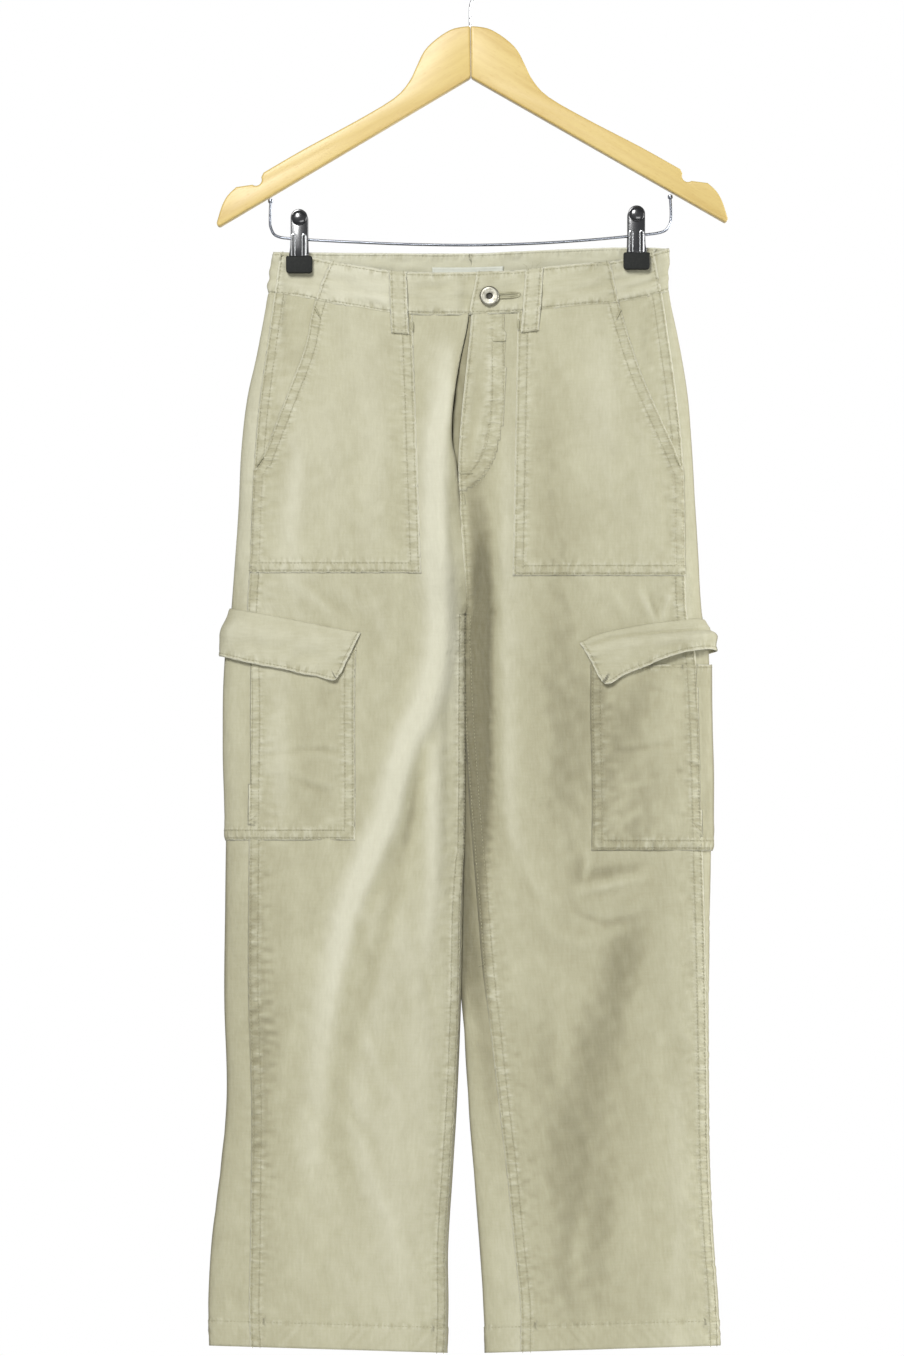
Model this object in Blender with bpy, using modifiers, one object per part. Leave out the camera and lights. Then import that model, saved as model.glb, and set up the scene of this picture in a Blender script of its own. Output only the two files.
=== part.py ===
"""Straight-leg cargo trousers hung by two clips from a wooden hanger.

Sizes are in millimetres until a mesh is made. X runs to the wearer's left, Y to the back and Z up.
The origin is the inside top of the hanger's hook. "down" is measured along the cloth from the top
edge of the waistband, and "turn" goes round a leg: 0 at its inner side, 1 at its outer fold, 2 back
at the inner side, with the front of the cloth between 0 and 1.
"""
from math import acos, cos, exp, hypot, pi, radians, sin, sqrt

import bmesh
import bpy
from mathutils import Matrix, Vector

MM = 0.001
COLLECTION = "cargo_trousers"

# Garment
WAIST_LEVEL = -266.0        # the waistband's top edge, under the hook's inside top
HEM = 960.0                 # length of the legs from the waist's top edge
HEM_DIP = 3.2               # the hems hang this much lower inside and higher outside
BAND_HEIGHT = 37.6
CROTCH = 315.0
CLOSING = 65.0              # over this height above the crotch the two legs part
CLOTH = 1.2                 # wall of one ply
BAND = 2.0                  # wall of the waistband
SEAM_GAP = 0.3
CROTCH_EASE = 0.9           # more room where the four leg panels meet
EDGE_STRIP = 0.5            # narrow strip along a seam that keeps both walls square to it
PATCH_GAP = 1.0             # air between a pocket and the panel under it
WRAP_GAP = 1.1              # the same where a pocket turns round the side
LENS = 2.5                  # fullness of a leg's section
FOLD = 14.0                 # tightness of the waist's side folds

# Sections of the legs. outer: side fold, seam: side seam on the front, inner_front and inner_back:
# the front and back centre lines, then the leg's inner fold, inseam: its place on the front,
# front and back: half depths.
COLUMNS = ("down", "outer", "seam", "inner_front", "inner_back", "inseam", "front", "back")
SECTIONS = {
    "right": (
        (0, -172.8, -166.5, -0.3, -0.3, -0.3, 21, 15),
        (40, -178.0, -171.7, -2.0, -0.3, -2.0, 21, 15),
        (85, -186.0, -178.0, -10.5, -0.3, -10.5, 22, 16),
        (130, -195.7, -184.0, -15.9, -0.3, -15.9, 22, 17),
        (175, -200.8, -188.0, -15.8, -0.4, -15.8, 23, 18),
        (220, -202.8, -190.3, -12.5, -1.0, -12.5, 23, 19),
        (268, -206.0, -192.0, -7.2, -2.6, -7.2, 23, 20),
        (315, -209.5, -194.7, -4.9, -4.9, -4.9, 22, 20),
        (350, -212.5, -192.6, -4.9, -4.9, -3.9, 21, 19),
        (400, -213.9, -192.0, -4.9, -4.9, -3.6, 20, 18),
        (480, -213.9, -192.8, -4.9, -4.9, -3.4, 19, 17),
        (570, -214.8, -193.6, -6.4, -6.4, -7.9, 19, 17),
        (655, -215.7, -193.8, -8.2, -8.2, -9.7, 18, 17),
        (740, -213.5, -191.2, -11.6, -11.6, -13.2, 18, 17),
        (800, -218.5, -191.2, -15.2, -15.2, -17.0, 18, 17),
        (870, -226.8, -192.0, -19.5, -19.5, -21.3, 19, 17),
        (920, -229.7, -193.0, -19.2, -19.2, -21.0, 19, 17),
        (960, -228.4, -192.0, -20.6, -20.6, -22.4, 19, 17),
    ),
    "left": (
        (0, 172.8, 160.5, 0.3, 0.3, 0.3, 21, 15),
        (40, 174.0, 167.6, 0.3, 0.3, 0.3, 21, 15),
        (85, 183.0, 173.8, -3.8, 0.3, -3.8, 22, 16),
        (130, 190.3, 179.8, -8.0, 0.3, -8.0, 22, 17),
        (175, 193.9, 184.5, -10.6, 0.2, -10.6, 23, 18),
        (220, 196.6, 186.2, -9.6, -0.4, -9.6, 23, 19),
        (268, 199.5, 186.8, -6.3, -1.9, -6.3, 23, 20),
        (315, 202.5, 188.4, -3.9, -3.9, -3.9, 22, 20),
        (350, 208.5, 195.5, -3.9, -3.9, -3.3, 21, 19),
        (400, 209.3, 198.6, -3.9, -3.9, -2.2, 20, 18),
        (480, 211.3, 201.0, -3.9, -3.9, 2.2, 19, 17),
        (570, 209.6, 203.8, -5.2, -5.2, 8.6, 19, 17),
        (655, 208.7, 205.6, -6.5, -6.5, 14.8, 18, 17),
        (740, 208.8, 206.8, -2.2, -2.2, 23.9, 18, 17),
        (800, 209.6, 207.8, 2.4, 2.4, 30.9, 18, 17),
        (870, 213.0, 211.2, 8.0, 8.0, 38.0, 19, 17),
        (920, 216.8, 215.0, 11.0, 11.0, 43.0, 19, 17),
        (960, 218.3, 216.5, 12.8, 12.8, 43.2, 19, 17),
    ),
}

# Half depth of the waist: shut at the two clips, the front bowed out between them.
WAIST_COLUMNS = ("x", "front", "back")
WAIST_DEPTHS = (
    (-174, 5.6, 5.6), (-167, 5.2, 5.2), (-161, 2.7, 2.7), (-149.5, 2.4, 2.4), (-138, 2.7, 2.7),
    (-122, 6.0, 4.6), (-95, 13.5, 6.5), (-50, 22.0, 8.0), (0, 24.0, 8.5), (50, 22.0, 8.0),
    (92, 13.5, 6.5), (116, 6.0, 4.6), (130, 2.7, 2.7), (145, 2.4, 2.4), (159, 2.6, 2.6),
    (166, 5.2, 5.2), (174, 5.6, 5.6),
)
WAIST_HOLD = 22.0           # the waist's own section holds down to here
WAIST_FADE = 170.0          # and has gone here

# How far the waist hangs below a level line.
DROP_COLUMNS = ("x", "front", "back")
WAIST_DROPS = (
    (-174, 0.0, 0.0), (-165, 0.2, 0.0), (-149, 2.2, 0.0), (-124, 7.4, 0.0), (-96, 11.8, 0.0),
    (-71, 16.0, 0.0), (-34, 17.9, 0.2), (5, 17.2, 0.0), (42, 15.9, -1.6), (63, 13.3, -2.6),
    (98, 9.8, -3.8), (122, 8.0, -4.3), (146, 4.4, -4.3), (160, 0.8, -4.0), (174, -3.5, -3.5),
)
DROP_HOLD = 40.0
DROP_FADE = 275.0

# Folds, ridges up and troughs down. Each path row: down, x, share of the height.
# toward: width on the side nearer the centre line or hem, away: on the other side.
FOLDS = (
    {"leg": "right", "side": "front", "height": 13.0, "toward": 11.0, "away": 25.0,
     "path": ((38, -20, 0.1), (75, -27, 0.65), (135, -36, 1.0), (210, -36, 1.0), (262, -31, 0.95),
              (315, -35, 0.8), (380, -44, 0.65), (458, -65, 0.5), (536, -96, 0.36),
              (600, -115, 0.28), (680, -143, 0.05))},
    {"leg": "right", "side": "front", "height": 5.5, "toward": 8.0, "away": 11.0,
     "path": ((310, -19, 0.2), (396, -24, 0.8), (458, -28, 1.0), (506, -32, 0.8), (560, -43, 0.1))},
    {"leg": "right", "side": "front", "height": 4.5, "toward": 12.0, "away": 14.0,
     "path": ((745, -157, 0.2), (800, -133, 1.0), (865, -106, 0.2))},
    {"leg": "right", "side": "front", "height": 5.0, "toward": 12.0, "away": 14.0,
     "path": ((740, -118, 0.2), (820, -78, 1.0), (900, -36, 0.2))},
    {"leg": "right", "side": "front", "height": -4.0, "toward": 14.0, "away": 14.0,
     "path": ((640, -60, 0.2), (700, -72, 1.0), (770, -90, 0.2))},
    {"leg": "left", "side": "front", "height": 5.5, "toward": 13.0, "away": 20.0,
     "path": ((60, 30, 0.2), (150, 31, 0.7), (300, 31, 1.0), (430, 31, 0.9), (560, 34, 0.1))},
    {"leg": "left", "side": "front", "height": -4.5, "toward": 7.0, "away": 8.0,
     "path": ((250, 11, 0.1), (330, 9, 1.0), (430, 11, 0.7), (480, 14, 0.1))},
    {"leg": "left", "side": "front", "height": -3.6, "toward": 8.0, "away": 6.0,
     "path": ((556, 80, 0.2), (549, 120, 1.0), (541, 166, 0.2))},
    {"leg": "left", "side": "front", "height": -4.5, "toward": 20.0, "away": 22.0,
     "path": ((560, 158, 0.2), (620, 134, 1.0), (700, 122, 0.8), (790, 112, 0.1))},
    {"leg": "left", "side": "front", "height": 4.0, "toward": 14.0, "away": 16.0,
     "path": ((760, 150, 0.1), (830, 142, 1.0), (910, 130, 0.2))},
    {"leg": "right", "side": "back", "height": 6.5, "toward": 18.0, "away": 24.0,
     "path": ((90, -48, 0.1), (200, -42, 1.0), (330, -46, 0.9), (450, -70, 0.6), (600, -118, 0.1))},
    {"leg": "right", "side": "back", "height": -3.6, "toward": 8.0, "away": 9.0,
     "path": ((560, -60, 0.1), (548, -100, 1.0), (540, -150, 0.2))},
    {"leg": "right", "side": "back", "height": 4.0, "toward": 14.0, "away": 14.0,
     "path": ((690, -150, 0.1), (780, -122, 1.0), (880, -92, 0.1))},
    {"leg": "left", "side": "back", "height": 5.5, "toward": 18.0, "away": 22.0,
     "path": ((110, 52, 0.1), (240, 45, 1.0), (360, 48, 0.8), (500, 72, 0.1))},
    {"leg": "left", "side": "back", "height": -3.6, "toward": 9.0, "away": 9.0,
     "path": ((548, 52, 0.1), (560, 104, 1.0), (548, 150, 0.1))},
    {"leg": "left", "side": "back", "height": 4.5, "toward": 15.0, "away": 15.0,
     "path": ((650, 140, 0.1), (760, 118, 1.0), (900, 96, 0.1))},
)

# Front patch pockets: mouth is the slanted edge from the waistband to the side seam.
MOUTH_END = 190.0
PATCHES = {
    "right": {"bottom": 281.0, "inner_top": -50.5, "inner_bottom": -42.5,
              "mouth": ((0, -122.0), (41, -136.9), (80, -144.8), (118, -157.5), (157, -171.9),
                        (181, -181.6), (190, -187.2))},
    "left": {"bottom": 283.5, "inner_top": 40.7, "inner_bottom": 36.3,
             "mouth": ((0, 121.5), (42, 131.3), (102, 148.8), (145, 165.3), (179, 179.8),
                       (190, 183.9))},
}

# Cargo pockets and their flaps, by their reach from the side fold to the front and to the back.
CARGOS = {
    "right": {"top": 346.0, "bottom": 515.0, "front": 119.0, "back": 69.0},
    "left": {"top": 361.0, "bottom": 524.0, "front": 111.0, "back": 77.0},
}
# Flap rows: reach from the fold (front is negative), down of its top and bottom, lift of its lower edge.
FLAP_COLUMNS = ("reach", "top", "bottom", "lift")
FLAPS = {
    "right": ((-122, 333, 379, 3.6), (-100, 329, 374, 3.8), (-60, 321, 366, 4.4),
              (-20, 314, 358, 5.6), (0, 312, 354, 6.0), (20, 313, 356, 5.2), (72, 322, 366, 3.6)),
    "left": ((-119, 342, 380, 3.8), (-100, 334, 376, 4.0), (-60, 326, 361, 4.6),
             (-36, 323, 352, 5.0), (-12, 321, 348, 5.6), (0, 322, 350, 5.8), (20, 323, 356, 5.0),
             (80, 330, 372, 3.6)),
}

# Fly and button
FLY_END = 4.8               # free end of the lapping waistband
SHIELD_REACH = 27.0
SHIELD_BOTTOM = 192.0
BUTTON = {"x": 16.2, "down": 21.9, "radius": 8.6, "height": 3.0, "well": 2.5}

# Belt loops: middle x at the top and at the bottom
LOOP_WIDTH = 15.5
LOOP_LENGTH = 55.0
LOOPS = {
    "loop_front_right": ("front", -62.9, -60.8), "loop_front_left": ("front", 54.9, 51.0),
    "loop_back_right": ("back", -82.0, -82.0), "loop_back_centre": ("back", 0.0, 0.0),
    "loop_back_left": ("back", 82.0, 82.0),
}
LABEL = {"left": -33.7, "right": 28.9, "top": 12.5, "bottom": 30.0, "wall": 1.0}

# Hanger. Heights are measured from the top of the wood.
TILT = radians(0.5)         # the hanger hangs a little higher at the wearer's left
HOOK_INSIDE = 38.0
HOOK_WIRE = 3.5
HOOK_LEAN = 60.0            # degrees between the stem and the loop where they join
WOOD_TOP = -69.1            # under the hook's inside top
WOOD_APEX = -45.0
WOOD_THICK = 12.0
WOOD_ROUND = 2.4
NOTCH = {"x": 188.8, "z": -132.7, "radius": 5.2}
ARM_TOP = ((17.9, -3.3), (30.2, -11.1), (40.7, -21.5), (47.7, -35.4), (54.5, -48.7),
           (67.8, -62.7), (101.0, -82.2), (146.6, -106.3), (182.0, -126.5))
ARM_END = ((206.0, -138.9), (213.5, -146.1), (218.8, -155.6), (223.6, -171.0), (221.5, -173.7))
BAR_WIRE = 2.4
BAR = ((-174.9, -150.4), (-175.4, -167.1), (-174.6, -176.1), (-168.9, -183.3), (-150.0, -185.7),
       (-100.0, -188.4), (-50.0, -190.3), (0.0, -190.9), (50.0, -189.7), (100.0, -186.7),
       (145.0, -182.5), (166.6, -179.7), (173.6, -174.1), (175.4, -165.1), (174.6, -146.8))

# Clips: the middle and the top of each
CLIPS = {"right": (-149.6, -160.5), "left": (144.9, -157.3)}
JAW_HEIGHT = 41.6
JAW_PLATE = 2.5
PAD = (23.4, 6.6, 14.0)
PAD_INSIDE = 4.2            # from the clip's middle plane to a pad's face
STUD_RADIUS = 6.6
STRIP = (4.4, 0.9, 19.4)
BAR_IN_CLIP = -24.8         # the bar, below a clip's top

# Colours: red, green, blue, roughness, metallic
FINISHES = {
    "twill": (0.60, 0.575, 0.44, 0.9, 0.0),
    "label": (0.73, 0.75, 0.72, 0.8, 0.0),
    "old_silver": (0.32, 0.30, 0.25, 0.45, 0.9),
    "beech": (0.80, 0.60, 0.27, 0.45, 0.0),
    "steel": (0.55, 0.56, 0.58, 0.25, 1.0),
    "clip_plastic": (0.018, 0.02, 0.022, 0.35, 0.0),
    "pad_rubber": (0.03, 0.03, 0.03, 0.8, 0.0),
}


def clear_scene():
    for obj in list(bpy.data.objects):
        bpy.data.objects.remove(obj, do_unlink=True)


def ease(start, end, at):
    """0 at start, 1 at end, level at both."""
    share = min(1.0, max(0.0, (at - start) / (end - start)))
    return share * share * (3.0 - 2.0 * share)


def read(rows, at, column):
    """A smooth curve through one column of a table, over its first column."""
    if at <= rows[0][0]:
        return rows[0][column]
    if at >= rows[-1][0]:
        return rows[-1][column]
    index = next(i for i in range(1, len(rows)) if rows[i][0] >= at)

    def slope(i):
        low, high = max(0, i - 1), min(len(rows) - 1, i + 1)
        return (rows[high][column] - rows[low][column]) / (rows[high][0] - rows[low][0])

    x0, x1 = rows[index - 1][0], rows[index][0]
    y0, y1 = rows[index - 1][column], rows[index][column]
    run = x1 - x0
    s = (at - x0) / run
    bend0, bend1 = slope(index - 1) * run, slope(index) * run
    return (y0 * (1 + 2 * s) * (1 - s) ** 2 + bend0 * s * (1 - s) ** 2
            + y1 * s * s * (3 - 2 * s) + bend1 * s * s * (s - 1))


def leg_size(leg, name, down):
    return read(SECTIONS[leg], down, COLUMNS.index(name))


def level(x, down, side):
    """Height of a point of the cloth under the hook."""
    drop = read(WAIST_DROPS, x, DROP_COLUMNS.index(side))
    return WAIST_LEVEL - down - drop * (1.0 - ease(DROP_HOLD, DROP_FADE, down))


def relief(leg, side, x, down):
    """Height of the folds at a point of a leg."""
    total = 0.0
    for fold in FOLDS:
        if fold["leg"] != leg or fold["side"] != side:
            continue
        best = None
        path = fold["path"]
        for (d0, x0, h0), (d1, x1, h1) in zip(path, path[1:]):
            run_d, run_x = d1 - d0, x1 - x0
            length = hypot(run_d, run_x)
            share = ((down - d0) * run_d + (x - x0) * run_x) / (length * length)
            share = min(1.0, max(0.0, share))
            off_d, off_x = down - d0 - share * run_d, x - x0 - share * run_x
            away = hypot(off_d, off_x)
            if best is None or away < best[0]:
                upright = abs(run_d) > abs(run_x)
                inward = off_x * (1 if leg == "right" else -1) > 0 if upright else off_d > 0
                best = (away, h0 + share * (h1 - h0), inward)
        width = fold["toward"] if best[2] else fold["away"]
        total += fold["height"] * best[1] * exp(-(best[0] / width) ** 2)
    return total


def across(leg, side, x, down):
    """Place across a leg: -1 at its inner line, 1 at its side fold."""
    inner = leg_size(leg, "inner_" + side, down)
    outer = leg_size(leg, "outer", down)
    return min(1.0, max(-1.0, (2 * x - inner - outer) / (outer - inner)))


def depth(leg, side, x, down):
    """Half depth of the garment to the outside of its cloth."""
    q = across(leg, side, x, down)
    closed = 1.0 if q > 0 else ease(CROTCH - CLOSING, CROTCH, down)
    lens = leg_size(leg, side, down) * sqrt(max(0.0, 1.0 - closed * abs(q) ** LENS))
    waist = read(WAIST_DEPTHS, x, WAIST_COLUMNS.index(side))
    waist *= sqrt(max(0.0, 1.0 - closed * abs(q) ** FOLD))
    free = ease(WAIST_HOLD, WAIST_FADE, down)
    folds = relief(leg, side, x, down) * free * max(0.0, 1.0 - closed * abs(q) ** 6)
    return lens * free + waist * (1.0 - free) + folds


def on_side(leg, side, x, down):
    """A point on the outside of the cloth."""
    sign = -1.0 if side == "front" else 1.0
    dip = HEM_DIP * across(leg, side, x, down) * ease(600.0, HEM, down)
    return Vector((x, sign * depth(leg, side, x, down), level(x, down, side) + dip))


def front_point(x, down):
    leg = "right" if x < leg_size("right", "inner_front", down) else "left"
    return on_side(leg, "front", x, down)


def turn_of(leg, x, down):
    """The turn at which the front of a leg reaches x."""
    return acos(-across(leg, "front", x, down)) / pi


def at_turn(leg, turn, down):
    turn = turn - 2.0 if turn > 2.0 else turn
    side, part = ("front", turn) if turn <= 1.0 else ("back", 2.0 - turn)
    q = -cos(pi * part)
    inner, outer = leg_size(leg, "inner_" + side, down), leg_size(leg, "outer", down)
    return on_side(leg, side, 0.5 * (inner + outer) + 0.5 * q * (outer - inner), down)


def along(points, measures, at):
    """The point of a line where its running measure reaches a value."""
    at = min(measures[-1], max(measures[0], at))
    index = next(i for i in range(1, len(measures)) if measures[i] >= at - 1e-9)
    run = measures[index] - measures[index - 1]
    return points[index - 1].lerp(points[index], (at - measures[index - 1]) / run if run else 0.0)


def running(points, bend_length=0.0):
    """Length along a line, with more counted where it bends."""
    measures = [0.0]
    for i in range(1, len(points)):
        step = (points[i] - points[i - 1]).length
        if bend_length and i + 1 < len(points):
            before, after = points[i] - points[i - 1], points[i + 1] - points[i]
            step += bend_length * before.angle(after, 0.0)
        measures.append(measures[-1] + step)
    return measures


def trimmed(points, cut):
    """A line without a short length at each of its ends."""
    measures = running(points)
    inside = [p for p, m in zip(points, measures) if cut < m < measures[-1] - cut]
    return [along(points, measures, cut)] + inside + [along(points, measures, measures[-1] - cut)]


def strip_line(leg, down, start, end, columns, fine=96):
    """Points across a panel, closer where the cloth bends."""
    line = [at_turn(leg, start + (end - start) * i / fine, down) for i in range(fine + 1)]
    crotch = CROTCH_EASE * exp(-((down - CROTCH) / 12.0) ** 2)
    line = trimmed(line, 0.5 * SEAM_GAP + 0.05 + crotch)
    lengths, measures = running(line), running(line, bend_length=26.0)
    inside = [along(line, measures, measures[-1] * i / (columns - 2)) for i in range(1, columns - 2)]
    near = [along(line, lengths, EDGE_STRIP), along(line, lengths, lengths[-1] - EDGE_STRIP)]
    return [line[0], near[0]] + inside + [near[1], line[-1]]


FOLD_LINES = {}


def around(leg, down, reach):
    """The point at a distance from the side fold round the leg, to the front if negative."""
    key = (leg, round(down, 3))
    if key not in FOLD_LINES:
        fine = 240
        line = [at_turn(leg, 0.35 + 1.3 * i / fine, down) for i in range(fine + 1)]
        measures = running(line)
        fold = measures[min(range(fine + 1), key=lambda i: abs(0.35 + 1.3 * i / fine - 1.0))]
        FOLD_LINES[key] = (line, [m - fold for m in measures])
    line, measures = FOLD_LINES[key]
    return along(line, measures, reach)


def outward(grid):
    """Unit normals of a grid of points, away from the inside of the leg."""
    rows, columns = len(grid), len(grid[0])
    normals = []
    for r in range(rows):
        line = []
        for c in range(columns):
            over = grid[r][min(columns - 1, c + 1)] - grid[r][max(0, c - 1)]
            under = grid[min(rows - 1, r + 1)][c] - grid[max(0, r - 1)][c]
            line.append(over.cross(under).normalized())
        normals.append(line)
    return normals


def moved(grid, amount, flip=1.0):
    """A grid moved out along its normals by an amount for each row and column."""
    normals = outward(grid)
    return [[p + normals[r][c] * flip * amount(r, c) for c, p in enumerate(line)]
            for r, line in enumerate(grid)]


def finish(name):
    red, green, blue, rough, metal = FINISHES[name]
    material = bpy.data.materials.get(name) or bpy.data.materials.new(name)
    material.use_nodes = True
    shader = material.node_tree.nodes["Principled BSDF"]
    shader.inputs["Base Color"].default_value = (red, green, blue, 1.0)
    shader.inputs["Roughness"].default_value = rough
    shader.inputs["Metallic"].default_value = metal
    return material


def part_material(obj, finish_name):
    material = finish(finish_name).copy()
    material.name = obj.name + "_" + finish_name
    obj.data.materials.append(material)


def add_object(name, data, finish_name):
    obj = bpy.data.objects.new(name, data)
    bpy.data.collections[COLLECTION].objects.link(obj)
    part_material(obj, finish_name)
    return obj


def cloth(name, grid, wall, finish_name="twill"):
    """A panel: a grid bent to its points, with its wall inside them."""
    rows, columns = len(grid) - 1, len(grid[0]) - 1
    bm = bmesh.new()
    bmesh.ops.create_grid(bm, x_segments=columns, y_segments=rows, size=1.0)
    for vertex in bm.verts:
        column = round((vertex.co.x + 1.0) * 0.5 * columns)
        row = round((1.0 - vertex.co.y) * 0.5 * rows)
        vertex.co = grid[row][column] * MM
    middle = grid[rows // 2][columns // 2]
    bm.normal_update()
    face = min(bm.faces, key=lambda f: (f.calc_center_median() - middle * MM).length)
    wanted = outward(grid)[rows // 2][columns // 2]
    if grid_sign(grid) * face.normal.dot(wanted) < 0:
        bmesh.ops.reverse_faces(bm, faces=bm.faces)
    mesh = bpy.data.meshes.new(name)
    bm.to_mesh(mesh)
    bm.free()
    obj = add_object(name, mesh, finish_name)
    shell = obj.modifiers.new("wall", "SOLIDIFY")
    shell.thickness = wall * MM
    shell.offset = -1.0
    return obj


def grid_sign(grid):
    """1 where a grid's own normals point away from the garment's middle plane, else -1."""
    normals = outward(grid)
    total = sum(n.y * p.y for line, points in zip(normals, grid) for n, p in zip(line, points))
    return 1.0 if total > 0 else -1.0


def evenly(start, end, steps):
    return [start + (end - start) * i / steps for i in range(steps + 1)]


def leg_rows():
    """Rows of a leg panel, closer together round the crotch."""
    top, bottom = BAND_HEIGHT + SEAM_GAP, HEM
    rows = evenly(top, CROTCH - 60, 8) + evenly(CROTCH - 45, CROTCH + 15, 4)
    return rows + evenly(CROTCH + 42, bottom, 16)


def front_row(leg, down):
    inner = leg_size(leg, "inner_front" if down < CROTCH else "inseam", down)
    start = turn_of(leg, inner, down)
    end = turn_of(leg, leg_size(leg, "seam", down), down)
    return strip_line(leg, down, start, end, 14)


def make_fronts():
    for leg in ("right", "left"):
        cloth("front_" + leg, [front_row(leg, down) for down in leg_rows()], CLOTH)


def on_row(row, x):
    """The point of a panel's row at x."""
    for before, after in zip(row, row[1:]):
        if min(before.x, after.x) <= x <= max(before.x, after.x):
            return before.lerp(after, (x - before.x) / (after.x - before.x))
    return min(row, key=lambda point: abs(point.x - x)).copy()


def make_backs():
    for leg in ("right", "left"):
        grid = []
        for down in leg_rows():
            start = turn_of(leg, leg_size(leg, "seam", down), down)
            wrap = turn_of(leg, leg_size(leg, "inseam", down), down) if down > CROTCH else 0.0
            grid.append(strip_line(leg, down, start, 2.0 + wrap, 15))
        cloth("back_" + leg, grid, CLOTH)


def make_patches():
    for leg, patch in PATCHES.items():
        downs = [BAND_HEIGHT + SEAM_GAP + 0.2]
        downs += [down for down in leg_rows() if 45.0 < down < 180.0] + [MOUTH_END]
        downs += [down for down in leg_rows() if 200.0 < down < patch["bottom"] - 20.0]
        downs += [patch["bottom"] - 11.0, patch["bottom"]]
        grid = []
        for down in downs:
            share = (down - BAND_HEIGHT) / (patch["bottom"] - BAND_HEIGHT)
            inner = patch["inner_top"] + (patch["inner_bottom"] - patch["inner_top"]) * share
            seam = leg_size(leg, "seam", down)
            outer = read(patch["mouth"], down, 1) if down <= MOUTH_END else seam
            outer += 0.6 if leg == "right" else -0.6
            row = front_row(leg, down)
            grid.append([on_row(row, x) for x in evenly(inner, outer, 12)])
        sign = grid_sign(grid)
        cloth("patch_" + leg, moved(grid, lambda r, c: PATCH_GAP + CLOTH, sign), CLOTH)


def wrap_reaches(front, back):
    """Columns of a piece that turns round the side fold, close together at the fold."""
    fold = (-16.0, -9.0, -5.0, -1.7, 1.7, 5.0, 9.0, 16.0)
    return evenly(-front, -30.0, 5) + list(fold) + evenly(30.0, back, 3)


def make_cargos():
    for leg, cargo in CARGOS.items():
        grid = [[around(leg, down, reach) for reach in wrap_reaches(cargo["front"], cargo["back"])]
                for down in evenly(cargo["top"], cargo["bottom"], 7)]
        cloth("cargo_" + leg, moved(grid, lambda r, c: WRAP_GAP + CLOTH, grid_sign(grid)), CLOTH)


def make_flaps():
    steps = 4
    for leg, rows in FLAPS.items():
        reaches = wrap_reaches(-rows[0][0], rows[-1][0])
        grid = []
        for step in range(steps + 1):
            line = []
            for reach in reaches:
                top, bottom = read(rows, reach, 1), read(rows, reach, 2)
                line.append(around(leg, top + (bottom - top) * step / steps, reach))
            grid.append(line)

        def rise(r, c, rows=rows, reaches=reaches):
            lift = read(rows, reaches[c], FLAP_COLUMNS.index("lift"))
            return WRAP_GAP + CLOTH + lift * ease(0.0, 1.0, min(1.0, 1.6 * r / steps))

        cloth("flap_" + leg, moved(grid, rise, grid_sign(grid)), CLOTH)


def band_rows(bottom=BAND_HEIGHT):
    return evenly(0.0, bottom, 3)


def make_front_bands():
    for leg, patch in PATCHES.items():
        sign = 1.0 if leg == "left" else -1.0
        front, side = [], []
        for down in band_rows():
            mouth = read(patch["mouth"], down, 1)
            seam = turn_of(leg, leg_size(leg, "seam", down), down)
            inner = FLY_END - 5.6 * ease(0.0, BAND_HEIGHT, down)
            inner = inner if leg == "left" else SHIELD_REACH
            front.append([front_point(x, down) for x in evenly(inner, mouth - sign * 0.2, 13)])
            start = turn_of(leg, mouth + sign * 0.2, down)
            side.append(strip_line(leg, down, start, seam, 6))

        def rise(r, c, line=front[0], leg=leg):
            lapped = ease(-14.0, -3.6, line[c].x) if leg == "right" else 0.0
            return BAND - 0.1 - lapped * (BAND + 0.6)

        cloth("band_front_" + leg, moved(front, rise, grid_sign(front)), BAND)
        cloth("band_side_" + leg, moved(side, lambda r, c: 0.7, grid_sign(side)), BAND - 0.3)


def make_back_band():
    grid = []
    for down in band_rows():
        line = []
        for leg in ("right", "left"):
            seam = turn_of(leg, leg_size(leg, "seam", down), down)
            half = strip_line(leg, down, seam, 2.0, 16)
            line += half[:-1] if leg == "right" else half[::-1]
        grid.append(line)
    cloth("band_back", moved(grid, lambda r, c: 0.8, grid_sign(grid)), BAND)


def make_fly_shield():
    grid = []
    for down in evenly(BAND_HEIGHT + SEAM_GAP, SHIELD_BOTTOM, 6):
        edge = leg_size("right", "inner_front", down) + 0.6
        grid.append([on_side("left", "front", x, down) for x in evenly(edge, SHIELD_REACH, 5)])
    cloth("fly_shield", moved(grid, lambda r, c: -CLOTH - 1.0, grid_sign(grid)), CLOTH)


def make_loops():
    steps = 6
    for name, (side, top_x, bottom_x) in LOOPS.items():
        base = BAND + 0.8 if side == "front" else 1.3
        grid = []
        for step in range(steps + 1):
            down = 0.4 + (LOOP_LENGTH - 0.4) * step / steps
            middle = top_x + (bottom_x - top_x) * step / steps
            line = []
            for x in evenly(middle - 0.5 * LOOP_WIDTH, middle + 0.5 * LOOP_WIDTH, 2):
                leg = "right" if x < 0.0 else "left"
                line.append(on_side(leg, side, x, down))
            grid.append(line)

        def rise(r, c, base=base):
            return base + 1.4 + 1.8 * sin(pi * r / steps)

        cloth(name, moved(grid, rise, grid_sign(grid)), 1.4)


def make_label():
    grid = []
    for down in (LABEL["top"], LABEL["bottom"]):
        line = []
        for x in evenly(LABEL["left"], LABEL["right"], 6):
            leg = "right" if x < 0.0 else "left"
            line.append(on_side(leg, "back", x, down))
        grid.append(line)
    inside = BAND - 0.8 + 0.45
    cloth("label", moved(grid, lambda r, c: -inside, grid_sign(grid)), LABEL["wall"], "label")


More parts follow.
